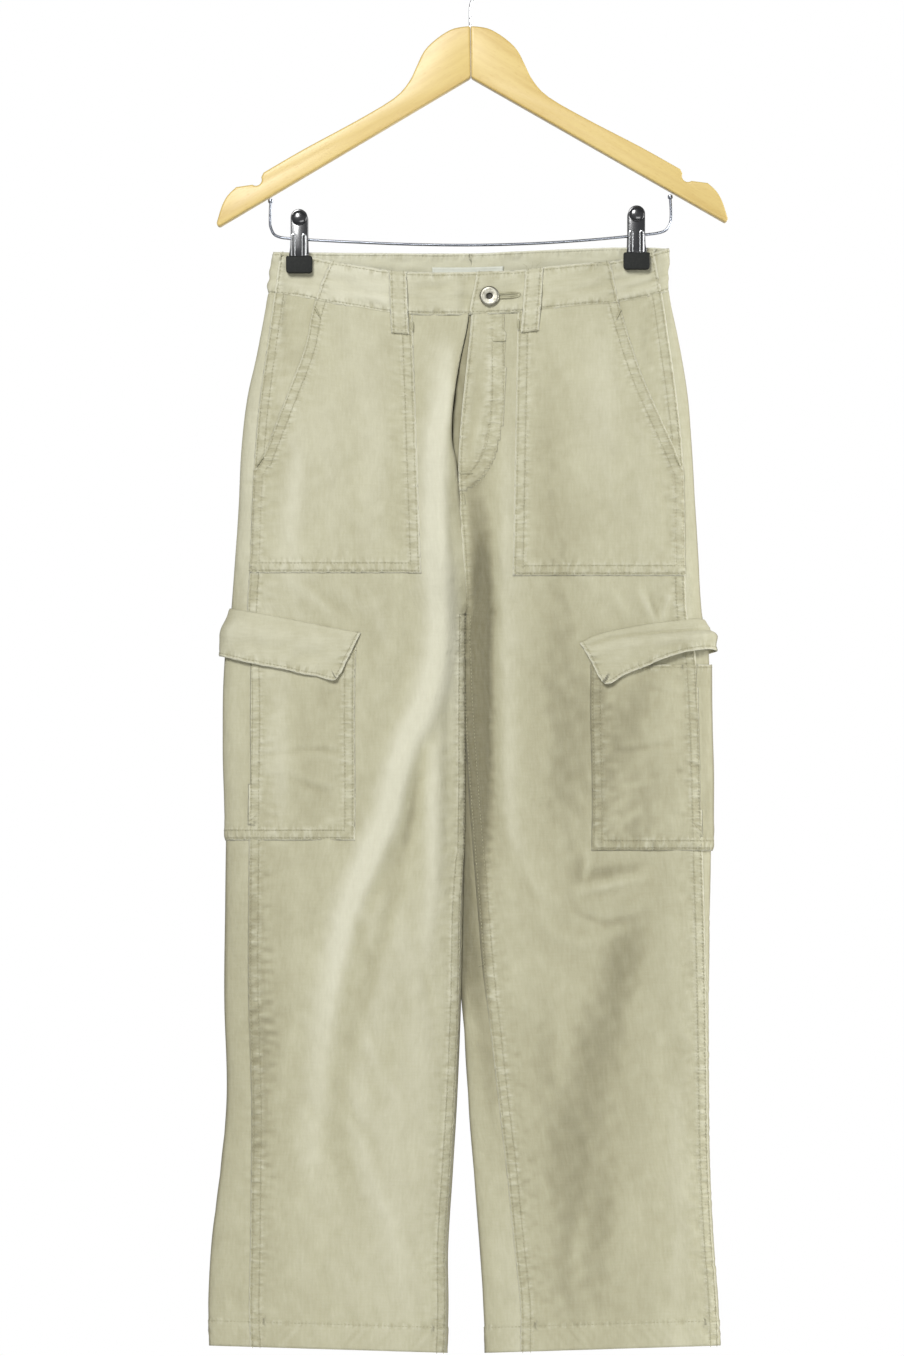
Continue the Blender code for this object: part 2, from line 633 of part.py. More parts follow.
def turned(name, profile, centre, finish_name, steps=20):
    """A turned piece whose axis faces the front: profile rows are radius and height."""
    mesh = bpy.data.meshes.new(name)
    bm = bmesh.new()
    corners = [bm.verts.new((r * MM, 0.0, h * MM)) for r, h in profile]
    for first, second in zip(corners, corners[1:]):
        bm.edges.new((first, second))
    bm.to_mesh(mesh)
    bm.free()
    obj = add_object(name, mesh, finish_name)
    screw = obj.modifiers.new("turn", "SCREW")
    screw.axis = "Z"
    screw.steps = screw.render_steps = steps
    screw.use_merge_vertices = True
    screw.merge_threshold = 0.00001
    obj.rotation_euler = (0.5 * pi, 0.0, 0.0)
    obj.location = centre * MM
    return obj


def make_button():
    radius, height, well = BUTTON["radius"], BUTTON["height"], BUTTON["well"]
    place = front_point(BUTTON["x"], BUTTON["down"])
    place.y -= BAND - 0.1 + 0.9
    profile = ((0.0, 1.0), (well, 1.0), (well + 0.5, height), (0.68 * radius, height + 0.1),
               (0.9 * radius, 0.75 * height), (radius, 0.4 * height), (0.93 * radius, 0.0), (0.0, 0.0))
    turned("button", profile, place, "old_silver")


def tilted(x, y, z):
    """A point of the hanger, turned a little about the top of the wood."""
    return Vector((x * cos(TILT) - z * sin(TILT), y, x * sin(TILT) + z * cos(TILT) + WOOD_TOP))


def outline(name, points, thick, rounding, y, finish_name, segments=1):
    """A flat piece cut to an outline in the X-Z plane, with rounded edges."""
    data = bpy.data.curves.new(name, "CURVE")
    data.dimensions = "2D"
    data.fill_mode = "BOTH"
    data.extrude = 0.5 * thick * MM
    spline = data.splines.new("POLY")
    spline.points.add(len(points) - 1)
    for knot, point in zip(spline.points, points):
        knot.co = (point.x * MM, point.z * MM, 0.0, 1.0)
    spline.use_cyclic_u = True
    obj = add_object(name, data, finish_name)
    obj.matrix_world = Matrix.Translation((0.0, y * MM, 0.0)) @ Matrix.Rotation(0.5 * pi, 4, "X")
    weld = obj.modifiers.new("weld", "WELD")
    weld.merge_threshold = 0.00001
    edges = obj.modifiers.new("edges", "BEVEL")
    edges.width = rounding * MM
    edges.segments = segments
    edges.limit_method = "ANGLE"
    edges.angle_limit = radians(50)
    return obj


def wire(name, points, thick, finish_name):
    data = bpy.data.curves.new(name, "CURVE")
    data.dimensions = "3D"
    data.bevel_depth = 0.5 * thick * MM
    data.bevel_resolution = 2
    data.use_fill_caps = True
    spline = data.splines.new("POLY")
    spline.points.add(len(points) - 1)
    for knot, point in zip(spline.points, points):
        knot.co = (point.x * MM, point.y * MM, point.z * MM, 1.0)
    return add_object(name, data, finish_name)


def make_arms():
    for name, sign in (("right", -1.0), ("left", 1.0)):
        edge = 0.5 * SEAM_GAP
        points = [(edge, 0.0)] + list(ARM_TOP)
        for step in range(7):
            angle = radians(155 + 25 * step)
            points.append((NOTCH["x"] + NOTCH["radius"] * cos(angle),
                           NOTCH["z"] + NOTCH["radius"] * sin(angle)))
        points += list(ARM_END) + [(edge, WOOD_APEX)]
        line = [tilted(sign * x, 0.0, z) for x, z in points]
        line = line[::-1] if sign > 0 else line
        outline("hanger_" + name, line, WOOD_THICK, WOOD_ROUND, 0.0, "beech", segments=2)


def make_hook():
    """A question-mark hook whose loop has its inside top at the origin."""
    radius = 0.5 * (HOOK_INSIDE + HOOK_WIRE)
    centre_z = -0.5 * HOOK_INSIDE
    lean = radians(HOOK_LEAN)
    points = []
    for step in range(23):
        angle = radians(200.0) - (radians(200.0) + lean) * step / 22
        points.append(Vector((radius * cos(angle), 0.0, centre_z + radius * sin(angle))))
    last = points[-1]
    bend = last.x / (1.0 - cos(lean))
    for step in range(1, 7):
        angle = lean * (1.0 - step / 6)
        points.append(Vector((bend * (1.0 - cos(angle)), 0.0,
                              last.z - bend * (sin(lean) - sin(angle)))))
    points.append(Vector((0.0, 0.0, WOOD_TOP + SEAM_GAP)))
    wire("hook", points, HOOK_WIRE, "steel")


def make_bar():
    wire("trouser_bar", [Vector((x, 0.0, z + WOOD_TOP)) for x, z in BAR], BAR_WIRE, "steel")


def box(name, size, centre, finish_name, bevel=0.5):
    bm = bmesh.new()
    bmesh.ops.create_cube(bm, size=1.0)
    for vertex in bm.verts:
        vertex.co = Vector([c * s * MM for c, s in zip(vertex.co, size)])
    mesh = bpy.data.meshes.new(name)
    bm.to_mesh(mesh)
    bm.free()
    obj = add_object(name, mesh, finish_name)
    obj.location = centre * MM
    rounding = obj.modifiers.new("edges", "BEVEL")
    rounding.width = bevel * MM
    rounding.segments = 1
    return obj


def jaw_outline(middle, top):
    """Round head, straight neck and a lower end that flares over the pad."""
    points = []
    head = 7.4
    for step in range(9):
        angle = radians(180.0 * step / 8)
        points.append(Vector((middle + head * cos(angle), 0.0, top - head + head * sin(angle))))
    lower = top - JAW_HEIGHT
    return points + [Vector((middle - 7.4, 0.0, lower + 20.0)), Vector((middle - 9.0, 0.0, lower)),
                     Vector((middle + 9.0, 0.0, lower)), Vector((middle + 7.4, 0.0, lower + 20.0))]


def make_clips():
    plate_y = PAD_INSIDE + PAD[1] - 1.0 - 0.5 * JAW_PLATE
    pad_y = PAD_INSIDE + 0.5 * PAD[1]
    face_y = -plate_y - 0.5 * JAW_PLATE - SEAM_GAP
    for side, (middle, below) in CLIPS.items():
        top = below + WOOD_TOP
        pad_z = top - JAW_HEIGHT - SEAM_GAP - 0.5 * PAD[2]
        for face, sign in (("front", -1.0), ("back", 1.0)):
            plate = jaw_outline(middle, top)
            outline("jaw_%s_%s" % (face, side), plate, JAW_PLATE, 0.5, sign * plate_y, "clip_plastic")
            box("pad_%s_%s" % (face, side), PAD, Vector((middle, sign * pad_y, pad_z)), "pad_rubber")
        for name, offset in (("outer", -5.0), ("inner", 4.2)):
            centre = Vector((middle + offset, face_y - 0.5 * STRIP[1],
                             top - JAW_HEIGHT + 0.4 + 0.5 * STRIP[2]))
            box("spring_%s_%s" % (name, side), STRIP, centre, "steel", bevel=0.25)
        stud = ((0.0, 1.9), (0.55 * STUD_RADIUS, 1.7), (0.9 * STUD_RADIUS, 1.0),
                (STUD_RADIUS, 0.3), (STUD_RADIUS, 0.0), (0.0, 0.0))
        turned("stud_" + side, stud, Vector((middle, face_y, top - 7.9)), "clip_plastic", 16)
        saddle = (10.0, 2.0 * (plate_y - 0.5 * JAW_PLATE - SEAM_GAP), 5.0)
        rest = top + BAR_IN_CLIP + 0.5 * BAR_WIRE + SEAM_GAP + 0.5 * saddle[2]
        box("saddle_" + side, saddle, Vector((middle, 0.0, rest)), "clip_plastic")


def main():
    clear_scene()
    bpy.context.scene.collection.children.link(bpy.data.collections.new(COLLECTION))
    make_fronts()
    make_backs()
    make_front_bands()
    make_back_band()
    make_fly_shield()
    make_patches()
    make_cargos()
    make_flaps()
    make_loops()
    make_label()
    make_button()
    make_arms()
    make_hook()
    make_bar()
    make_clips()


main()
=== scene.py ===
from functools import partialmethod
from math import cos, hypot, pi, radians, sin, sqrt

import bmesh
import bpy
import numpy as np
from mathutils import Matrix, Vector


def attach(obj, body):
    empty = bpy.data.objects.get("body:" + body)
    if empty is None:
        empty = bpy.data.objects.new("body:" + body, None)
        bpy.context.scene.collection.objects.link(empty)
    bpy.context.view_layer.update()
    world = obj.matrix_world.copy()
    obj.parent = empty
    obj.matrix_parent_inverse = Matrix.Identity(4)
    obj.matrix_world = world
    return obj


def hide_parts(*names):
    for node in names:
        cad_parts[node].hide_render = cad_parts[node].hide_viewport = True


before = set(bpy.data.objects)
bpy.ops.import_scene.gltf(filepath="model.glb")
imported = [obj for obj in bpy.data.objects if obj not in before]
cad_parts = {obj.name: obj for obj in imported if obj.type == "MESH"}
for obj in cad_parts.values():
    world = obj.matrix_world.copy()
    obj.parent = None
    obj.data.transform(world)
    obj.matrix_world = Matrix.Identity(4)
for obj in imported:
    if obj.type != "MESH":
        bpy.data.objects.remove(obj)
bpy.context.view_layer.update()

# Lengths are in millimetres until a mesh is made. "down" runs along the cloth from the waist's
# top edge; "turn" goes round a leg: 0 inner side, 1 side fold, 2 inner side again at the back.
mm = 0.001
legs = {"right": -1.0, "left": 1.0}     # and the side of the middle that each is on

cut = {
    "waistLevel": -266.0, "hem": 960.0, "hemDip": 3.2, "band": 37.6, "crotch": 315.0, "closing": 65.0,
    "mouthEnd": 190.0, "lens": 2.5, "fold": 14.0, "gap": 0.3, "waistHold": 22.0, "waistFade": 170.0,
    "dropHold": 40.0, "dropFade": 275.0, "underlap": 27.0,
    "photoLevel": -638.75, "photoDistance": 3000.0,
}
hem, band, crotch, mouthEnd = (cut[name] for name in ("hem", "band", "crotch", "mouthEnd"))

# Rows of stitches from an edge: two along a seam, one along a turned edge and one above the hem
seamRows, edgeRow, hemRow = (2.3, 8.9), 2.6, 21.9
seamFar = 40.0                          # stands for no seam near

# Thickness of each kind of piece, and where its random draws start
walls = {"panel": 1.1, "flap": 1.5, "band": 1.9, "bandSide": 1.7, "shield": 1.2, "loop": 1.4, "label": 0.9}
seeds = {
    "panel": 10, "patch": 40, "cargo": 60, "flap": 80, "band": 100, "bandSide": 104, "bandBack": 110,
    "loop": 120, "label": 130,
}

# The painted light and shade that the look reads, partly wear: how far a point stands out over steps of the
# grid, ridges painted lighter and hollows painted darker, and its limits
shadingShares, shadingLimits = ((2, 0.50), (7, 0.12), (16, 0.05)), (-2.3, 1.8)

# One row for each section: down, half depth in front and behind, and the x of the right leg's side
# fold, side seam, front centre, back centre and inseam, and then of the left leg's
sectionColumns = ("down", "front", "back", "outer", "seam", "frontInner", "backInner", "inseam")
sections = (
    (0, 21, 15, -172.8, -166.5, -0.3, -0.3, -0.3, 172.8, 160.5, 0.3, 0.3, 0.3),
    (40, 21, 15, -178, -171.7, -2, -0.3, -2, 174, 167.6, 0.3, 0.3, 0.3),
    (85, 22, 16, -186, -178, -10.5, -0.3, -10.5, 183, 173.8, -3.8, 0.3, -3.8),
    (130, 22, 17, -195.7, -184, -15.9, -0.3, -15.9, 190.3, 179.8, -8, 0.3, -8),
    (175, 23, 18, -200.8, -188, -15.8, -0.4, -15.8, 193.9, 184.5, -10.6, 0.2, -10.6),
    (220, 23, 19, -202.8, -190.3, -12.5, -1, -12.5, 196.6, 186.2, -9.6, -0.4, -9.6),
    (268, 23, 20, -206, -192, -7.2, -2.6, -7.2, 199.5, 186.8, -6.3, -1.9, -6.3),
    (315, 22, 20, -209.5, -194.7, -4.9, -4.9, -4.9, 202.5, 188.4, -3.9, -3.9, -3.9),
    (350, 21, 19, -212.5, -192.6, -4.9, -4.9, -3.9, 208.5, 195.5, -3.9, -3.9, -3.3),
    (400, 20, 18, -213.9, -192, -4.9, -4.9, -3.6, 209.3, 198.6, -3.9, -3.9, -2.2),
    (480, 19, 17, -213.9, -192.8, -4.9, -4.9, -3.4, 211.3, 201, -3.9, -3.9, 2.2),
    (570, 19, 17, -214.8, -193.6, -6.4, -6.4, -7.9, 209.6, 203.8, -5.2, -5.2, 8.6),
    (655, 18, 17, -215.7, -193.8, -8.2, -8.2, -9.7, 208.7, 205.6, -6.5, -6.5, 14.8),
    (740, 18, 17, -213.5, -191.2, -11.6, -11.6, -13.2, 208.8, 206.8, -2.2, -2.2, 23.9),
    (800, 18, 17, -218.5, -191.2, -15.2, -15.2, -17, 209.6, 207.8, 2.4, 2.4, 30.9),
    (870, 19, 17, -226.8, -192, -19.5, -19.5, -21.3, 213, 211.2, 8, 8, 38),
    (920, 19, 17, -229.7, -193, -19.2, -19.2, -21, 216.8, 215, 11, 11, 43),
    (960, 19, 17, -228.4, -192, -20.6, -20.6, -22.4, 218.3, 216.5, 12.8, 12.8, 43.2),
)

# Folds and creases: height (ridges up, troughs down), width towards the centre or hem, width the
# other way, and points of down, x and share of the height, 0.1 at an end and 1 elsewhere if left out
folds = {
    ("right", "front"): (
        (13, 10.5, 20, ((38, -18), (77, -20, 0.65), (112, -22, 0.9), (160, -28), (252, -28), (287, -25),
         (322, -22, 0.95), (357, -24, 0.9), (392, -33, 0.85), (427, -51, 0.75), (462, -62, 0.7),
         (497, -71, 0.65), (532, -86, 0.6), (567, -103, 0.55), (637, -119, 0.45), (707, -130, 0.3),
         (790, -137, 0.05))),
        (5.5, 9, 11, ((370, -22), (430, -30, 0.8), (500, -32), (560, -34, 0.8), (625, -42))),
        (-2.6, 8, 8, ((430, -44), (497, -53), (550, -64, 0.8), (640, -88, 0.6), (742, -114, 0.4),
         (800, -106))),
        (2.6, 10, 12, ((700, -90), (777, -96), (812, -88), (850, -71, 0.8), (900, -75))),
        (3.2, 14, 18, ((745, -157), (800, -133), (865, -106))),
        (-4, 14, 14, ((640, -60, 0.2), (700, -72), (770, -90, 0.2))),
    ),
    ("left", "front"): (
        (5, 9, 26, ((60, 30, 0.2), (150, 31, 0.6), (300, 31), (430, 34), (500, 37, 0.9), (567, 62, 0.5),
         (640, 84))),
        (-7, 8, 9, ((240, 12), (320, 9), (430, 11, 0.8), (520, 16))),
        (-2.5, 7, 7, ((548, 84), (543, 120), (536, 160))),
        (-4.5, 20, 22, ((560, 158, 0.2), (620, 134), (700, 122, 0.8), (790, 112))),
        (4, 14, 16, ((760, 150), (830, 142), (910, 130, 0.2))),
    ),
    ("right", "back"): (
        (6.5, 18, 24, ((90, -48), (200, -42), (330, -46, 0.9), (450, -70, 0.6), (600, -118))),
        (-3.6, 8, 9, ((560, -60), (548, -100), (540, -150, 0.2))),
        (4, 14, 14, ((690, -150), (780, -122), (880, -92))),
    ),
    ("left", "back"): (
        (5.5, 18, 22, ((110, 52), (240, 45), (360, 48, 0.8), (500, 72))),
        (-3.6, 9, 9, ((548, 52), (560, 104), (548, 150))),
        (4.5, 15, 15, ((650, 140), (760, 118), (900, 96))),
    ),
}

creases = {
    ("right", "front"): (
        # between the patch pocket and the flap
        (1.2, 6, 5, ((286, -158), (301, -138), (322, -112))),
        (-1, 5, 5, ((290, -140), (308, -118), (326, -96))),
        (1.1, 6, 5, ((288, -120), (306, -98), (330, -76))),
        (1, 6, 6, ((284, -96), (318, -80), (352, -70))),
        # thigh and shin
        (-1.5, 9, 9, ((330, -58), (400, -66), (470, -84))),
        (1.2, 7, 8, ((560, -70), (600, -60), (650, -46))),
        (-1.2, 5, 5, ((600, -48), (640, -38), (690, -30))),
        (1.6, 7, 7, ((536, -60), (572, -78), (616, -92))),
        (-1.4, 6, 6, ((560, -110), (610, -92), (660, -74))),
        (1.4, 7, 7, ((660, -100), (705, -84), (752, -60))),
        (-1.6, 6, 7, ((700, -128), (752, -104), (800, -74))),
        (1.5, 6, 6, ((655, -150), (700, -158), (760, -170))),
        (-1.3, 7, 7, ((850, -150), (890, -130), (930, -116))),
        (1.3, 8, 8, ((850, -70), (890, -58), (936, -52))),
        (-1, 3, 3, ((434, -150, 0.2), (437, -126), (441, -100, 0.2))),
    ),
    ("left", "front"): (
        # above the flap
        (1.8, 3.6, 4, ((292, 146), (307, 152), (323, 160, 0.6))),
        (-1.5, 3, 3, ((296, 156), (310, 160), (323, 164, 0.6))),
        (1.6, 3.2, 3.6, ((292, 176), (307, 171), (323, 166, 0.6))),
        (1, 4, 5, ((290, 120), (306, 130), (322, 136, 0.4))),
        # fly
        (2, 4, 5, ((62, 19, 0.3), (120, 13.5), (160, 4, 0.8), (188, 0, 0.2))),
        (-1.4, 3.5, 4, ((70, 9, 0.2), (110, 5), (150, -1, 0.4))),
        # thigh and shin
        (1.5, 10, 10, ((370, 60), (430, 66), (500, 58))),
        (-1.4, 6, 6, ((520, 40), (560, 52), (580, 70))),
        (2.4, 4, 6, ((562, 84), (557, 108, 0.9), (553, 128), (546, 156))),
        (1.7, 3, 4, ((518, 101), (535, 102), (556, 97))),
        (-0.7, 4.5, 5, ((522, 93), (540, 94), (556, 88))),
        (-1.6, 5, 5, ((576, 86), (586, 116), (580, 150))),
        (1.4, 6, 6, ((590, 60), (604, 92), (596, 128))),
        (1.6, 9, 10, ((600, 60), (680, 78), (770, 70))),
        (-1.6, 8, 8, ((640, 168), (700, 176), (780, 170))),
        (-1.4, 9, 9, ((740, 88), (800, 96), (870, 86))),
        (1.4, 8, 8, ((830, 100), (880, 92), (930, 96))),
        (-1.2, 6, 6, ((840, 180), (880, 170), (930, 168))),
    ),
    ("right", "back"): (
        (-2, 7, 8, ((250, -22), (292, -46), (310, -92))),
        (1.8, 7, 8, ((520, -76), (534, -110), (520, -158))),
        (1.6, 7, 7, ((580, -52), (596, -96), (584, -140))),
        (-1.5, 9, 9, ((660, -90), (740, -78), (820, -66))),
        (1.4, 8, 8, ((840, -150), (890, -140), (940, -136))),
    ),
    ("left", "back"): (
        (-2, 7, 8, ((254, 20), (296, 42), (318, 84))),
        (1.8, 7, 7, ((530, 66), (538, 108), (524, 156))),
        (-1.5, 6, 6, ((590, 54), (604, 96), (590, 134))),
        (-1.5, 9, 9, ((640, 80), (730, 72), (820, 70))),
        (1.4, 8, 8, ((820, 160), (880, 150), (940, 146))),
    ),
}

# Painted highlights and painted shade, partly wear on the ridges, laid out as the folds, with how much
# lighter or darker in place of the height
paintedShadingMarks = {
    ("right", "front"): (
        (1.6, 10, 14, ((70, -20, 0.5), (112, -22, 0.9), (160, -29), (252, -30), (287, -27), (322, -24),
         (357, -27), (392, -36), (427, -53), (462, -64), (497, -73), (532, -89), (602, -113, 0.9),
         (672, -126, 0.5), (790, -137, 0.3))),
        (1.1, 9, 10, ((270, -15, 0.2), (322, -13), (392, -14), (450, -18, 0.2))),
        (0.3, 16, 22, ((287, -36, 0.3), (357, -40), (427, -48, 0.6), (500, -40, 0.3))),
        (0.65, 8, 8, ((400, -24), (440, -31), (560, -33, 0.9), (640, -42, 0.3))),
        (-0.4, 8, 8, ((450, -48, 0.2), (497, -52), (540, -62, 0.7), (640, -92, 0.5), (742, -114, 0.4),
         (800, -105, 0.2))),
        (0.25, 20, 22, ((690, -92, 0.3), (777, -96), (812, -88), (850, -71, 0.9), (910, -80, 0.3))),
        (0.4, 44, 44, ((540, -52, 0.2), (630, -56), (760, -64), (920, -76, 0.8))),
        (-0.7, 4.5, 5.5, ((60, -8, 0.3), (110, -12), (175, -12, 0.8), (230, -8))),
        (0.85, 8, 9, ((160, -148, 0.2), (190, -151), (252, -157), (322, -154, 0.4), (392, -164, 0.5),
         (470, -166, 0.6), (520, -166, 0.2))),
        (0.36, 46, 46, ((60, -115, 1), (150, -120), (260, -125, 0.4))),
        (0.4, 13, 13, ((60, -88, 0.3), (120, -85), (190, -80), (255, -84, 0.5))),
        (1, 18, 16, ((300, -186, 0.3), (335, -182), (352, -180, 0.4))),
        (-0.95, 30, 26, ((500, -186, 0.2), (570, -188, 0.9), (760, -190), (860, -192, 0.6),
         (940, -196, 0.3))),
        (-0.4, 16, 18, ((380, -136, 0.5), (470, -138), (520, -140, 0.4))),
    ),
    ("right", "back"): (
        (0.9, 16, 16, ((60, -192, 1), (150, -200), (250, -206), (315, -210, 0.3))),
        (-0.8, 30, 30, ((500, -186, 0.2), (570, -188, 0.9), (760, -190), (860, -192, 0.6), (940, -196, 0.3))),
    ),
    ("left", "front"): (
        (-0.6, 6, 8, ((150, -2, 0.3), (205, 0), (262, 2), (300, 4, 0.3))),
        (-2.6, 10, 12, ((150, 6, 0.05), (215, 8, 0.3), (275, 9, 0.65), (330, 8), (430, 6), (500, 4, 0.9),
         (570, 3, 0.7), (680, 8, 0.3), (780, 14))),
        (0.3, 7, 9, ((150, 32, 0.3), (300, 34, 0.7), (400, 35), (500, 36), (567, 66, 0.5), (640, 86))),
        (0.6, 18, 20, ((60, 116, 0.6), (100, 115), (190, 108, 0.3))),
        (-0.5, 90, 80, ((290, 90, 0.2), (400, 90), (900, 110, 1))),
        (-0.45, 50, 60, ((320, 70, 0.3), (360, 90), (430, 90), (520, 80, 0.2))),
        (-0.5, 40, 46, ((660, 62, 0.2), (730, 70), (850, 80), (950, 88, 0.5))),
        (-0.48, 26, 26, ((520, 150, 0.6), (602, 140), (637, 131), (680, 116, 0.9), (780, 92, 0.4),
         (860, 82, 0.2))),
        (-0.6, 16, 18, ((120, 66, 0.3), (170, 68), (260, 74), (340, 80, 0.5))),
        (0.45, 10, 12, ((690, 168, 0.2), (760, 176), (960, 182, 0.8))),
    ),
}

# Half depth of the waist by x, in front and behind: shut at the clips and bowed between them
waistDepths = (
    (-174, 5.6, 5.6), (-167, 5.2, 5.2), (-161, 2.7, 2.7), (-149.5, 2.4, 2.4), (-138, 2.7, 2.7),
    (-122, 6.0, 4.6), (-95, 13.5, 6.5), (-50, 22.0, 8.0), (0, 24.0, 8.5), (50, 22.0, 8.0),
    (92, 13.5, 6.5), (116, 6.0, 4.6), (130, 2.7, 2.7), (145, 2.4, 2.4), (159, 2.6, 2.6),
    (166, 5.2, 5.2), (174, 5.6, 5.6),
)
# How far the waist sags by x, in front and behind
waistDrops = (
    (-174, 0.0, 0.0), (-165, 0.2, 0.0), (-149, 2.2, 0.0), (-124, 7.4, 0.0), (-96, 11.8, 0.0),
    (-71, 16.0, 0.0), (-34, 17.9, 0.2), (5, 17.2, 0.0), (42, 15.9, -1.6), (63, 13.3, -2.6),
    (98, 9.8, -3.8), (122, 8.0, -4.3), (146, 4.4, -4.3), (160, 0.8, -4.0), (174, -3.5, -3.5),
)
waistColumns = {"front": 1, "back": 2}  # after x


def ease(start, end, at):
    share = np.clip((at - start) / (end - start), 0.0, 1.0)
    return share * share * (3.0 - 2.0 * share)


def hump(at, width):
    return np.exp(-(at / width) ** 2)


def curve(xs, ys, at):
    # a smooth line through its points
    xs, ys = np.array(xs, float), np.array(ys, float)
    ends = (np.diff(ys) / np.diff(xs))[[0, -1]]
    slope = np.concatenate([ends[:1], (ys[2:] - ys[:-2]) / (xs[2:] - xs[:-2]), ends[1:]])
    at = np.clip(at, xs[0], xs[-1])
    i = np.clip(np.searchsorted(xs, at) - 1, 0, len(xs) - 2)
    run = xs[i + 1] - xs[i]
    s = (at - xs[i]) / run
    return (ys[i] * (1 + 2 * s) * (1 - s) ** 2 + slope[i] * run * s * (1 - s) ** 2
            + ys[i + 1] * s * s * (3 - 2 * s) + slope[i + 1] * run * s * s * (s - 1))


def readCurve(rows, at, column=1):
    columns = list(zip(*rows))
    return curve(columns[0], columns[column], at)


def smoothLine(points, steps, even=True):
    # more points on a line, so that it bends and not kinks
    points = np.array(points, float)
    marks = np.arange(len(points))
    if not even:
        marks = np.append(0.0, np.cumsum(np.hypot(*np.diff(points[:, :2], axis=0).T)))
    at = np.linspace(0.0, marks[-1], steps * (len(points) - 1) + 1)
    return np.stack([curve(marks, column, at) for column in points.T], axis=1)


def legSize(leg, name, down):
    column = sectionColumns.index(name)
    return readCurve(sections, down, column + (5 if leg == "left" and column > 2 else 0))


def creaseHeight(table, leg, side, x, down):
    total = np.zeros_like(x)
    for height, toward, away, path in table.get((leg, side), ()):
        last = len(path) - 1
        points = smoothLine([point if len(point) == 3 else (*point, 0.1 if i in (0, last) else 1.0)
                             for i, point in enumerate(path)], 5, even=False)
        reach = 3.0 * max(toward, away)
        low, high = points.min(axis=0) - reach, points.max(axis=0) + reach
        near = (down > low[0]) & (down < high[0]) & (x > low[1]) & (x < high[1])
        if not near.any():
            continue
        d, xx = down[near], x[near]
        closest, share, inward = np.full(d.shape, 1e9), np.zeros(d.shape), np.zeros(d.shape, bool)
        for (d0, x0, h0), (d1, x1, h1) in zip(points, points[1:]):
            runD, runX = d1 - d0, x1 - x0
            t = np.clip(((d - d0) * runD + (xx - x0) * runX) / (runD ** 2 + runX ** 2), 0.0, 1.0)
            offD, offX = d - d0 - t * runD, xx - x0 - t * runX
            distance = np.hypot(offD, offX)
            closer = distance < closest
            closest = np.where(closer, distance, closest)
            share = np.where(closer, h0 + t * (h1 - h0), share)
            within = offX * legs[leg] < 0 if abs(runD) > abs(runX) else offD > 0
            inward = np.where(closer, within, inward)
        total[near] += height * share * hump(closest, np.where(inward, toward, away))
    return total


def waves(u, v, size, seed, count=12, stretch=1.0):
    # a soft, even field of crossing waves, about -1 to 1
    picks = np.random.default_rng(seed)
    total = np.zeros_like(u)
    for _ in range(count):
        angle, phase = picks.uniform(0.0, pi), picks.uniform(0.0, 2.0 * pi)
        length = size * picks.uniform(0.7, 1.5)
        total += np.sin(2.0 * pi * ((u * cos(angle) + v * sin(angle) / stretch) / length) + phase)
    return total / sqrt(0.5 * count) * 0.5


def acrossLeg(leg, side, x, down):
    # -1 at the inner side of a leg and 1 at its side fold
    inner, outer = legSize(leg, side + "Inner", down), legSize(leg, "outer", down)
    return np.clip((2 * x - inner - outer) / (outer - inner), -1.0, 1.0)


def rounded(q, down, power):
    # closed at the side fold and, below the crotch, at the inner side too
    closed = np.where(q > 0, 1.0, ease(crotch - cut["closing"], crotch, down))
    return np.maximum(0.0, 1.0 - closed * np.abs(q) ** power)


def legPoint(leg, side, x, down):
    q = acrossLeg(leg, side, x, down)
    flat, free = rounded(q, down, 6), ease(cut["waistHold"], cut["waistFade"], down)
    waist = readCurve(waistDepths, x, waistColumns[side]) * np.sqrt(rounded(q, down, cut["fold"]))
    depth = legSize(leg, side, down) * np.sqrt(rounded(q, down, cut["lens"])) * free + waist * (1.0 - free)
    depth += creaseHeight(folds, leg, side, x, down) * free * flat
    depth += creaseHeight(creases, leg, side, x, down) * flat
    seed, count, small = (3, 12, 1.0) if side == "front" else (5, 30, 0.55)
    depth += flat * ease(30.0, 90.0, down) * (
        1.7 * waves(x, down, 95.0, seed, stretch=2.2)
        + 0.75 * small * waves(x, down, 38.0, seed + 1, count, 1.8)
        + 0.26 * small * waves(x, down, 16.0, seed + 2, count, 1.3))
    drop = readCurve(waistDrops, x, waistColumns[side])
    z = cut["waistLevel"] - down - drop * (1.0 - ease(cut["dropHold"], cut["dropFade"], down))
    z = z + cut["hemDip"] * q * ease(600.0, hem, down)
    if leg == "left":
        # the inner side folds in behind the front
        behind = ease(-0.55, -1.0, q) * ease(crotch - 8.0, crotch + 25.0, down) * ease(690.0, 615.0, down)
        x = x - 3.4 * behind
        depth = depth + (5.0 if side == "back" else -5.0) * behind
    if side == "front":
        # the levels were measured where the photo shows them, which is nearer its eye
        z = z - (z - cut["photoLevel"]) * depth / cut["photoDistance"]
    return np.stack([x, depth if side == "back" else -depth, z], axis=-1)


def bothLegs(side, x, down, split=0.0):
    right, left = legPoint("right", side, x, down), legPoint("left", side, x, down)
    return np.where((x < split)[..., None], right, left)


def frontPoint(x, down):
    return bothLegs("front", x, down, legSize("right", "frontInner", down))


def turnOf(leg, x, down):
    return np.arccos(-acrossLeg(leg, "front", x, down)) / pi


def seamTurn(leg, downs):
    return turnOf(leg, legSize(leg, "seam", downs), downs)


def plainSection(leg, turn, down):
    # the section of a leg without its folds, which the spacing of the mesh and the weave follow
    turn = np.where(turn > 2.0, turn - 2.0, turn)
    front = turn <= 1.0
    q = -np.cos(pi * np.where(front, turn, 2.0 - turn))
    outer = legSize(leg, "outer", down)
    inner, half = (np.where(front, legSize(leg, "front" + name, down), legSize(leg, "back" + name, down))
                   for name in ("Inner", ""))
    half = half * np.sqrt(rounded(q, down, cut["lens"]))
    return 0.5 * (inner + outer) + 0.5 * q * (outer - inner), half * np.where(front, -1.0, 1.0)


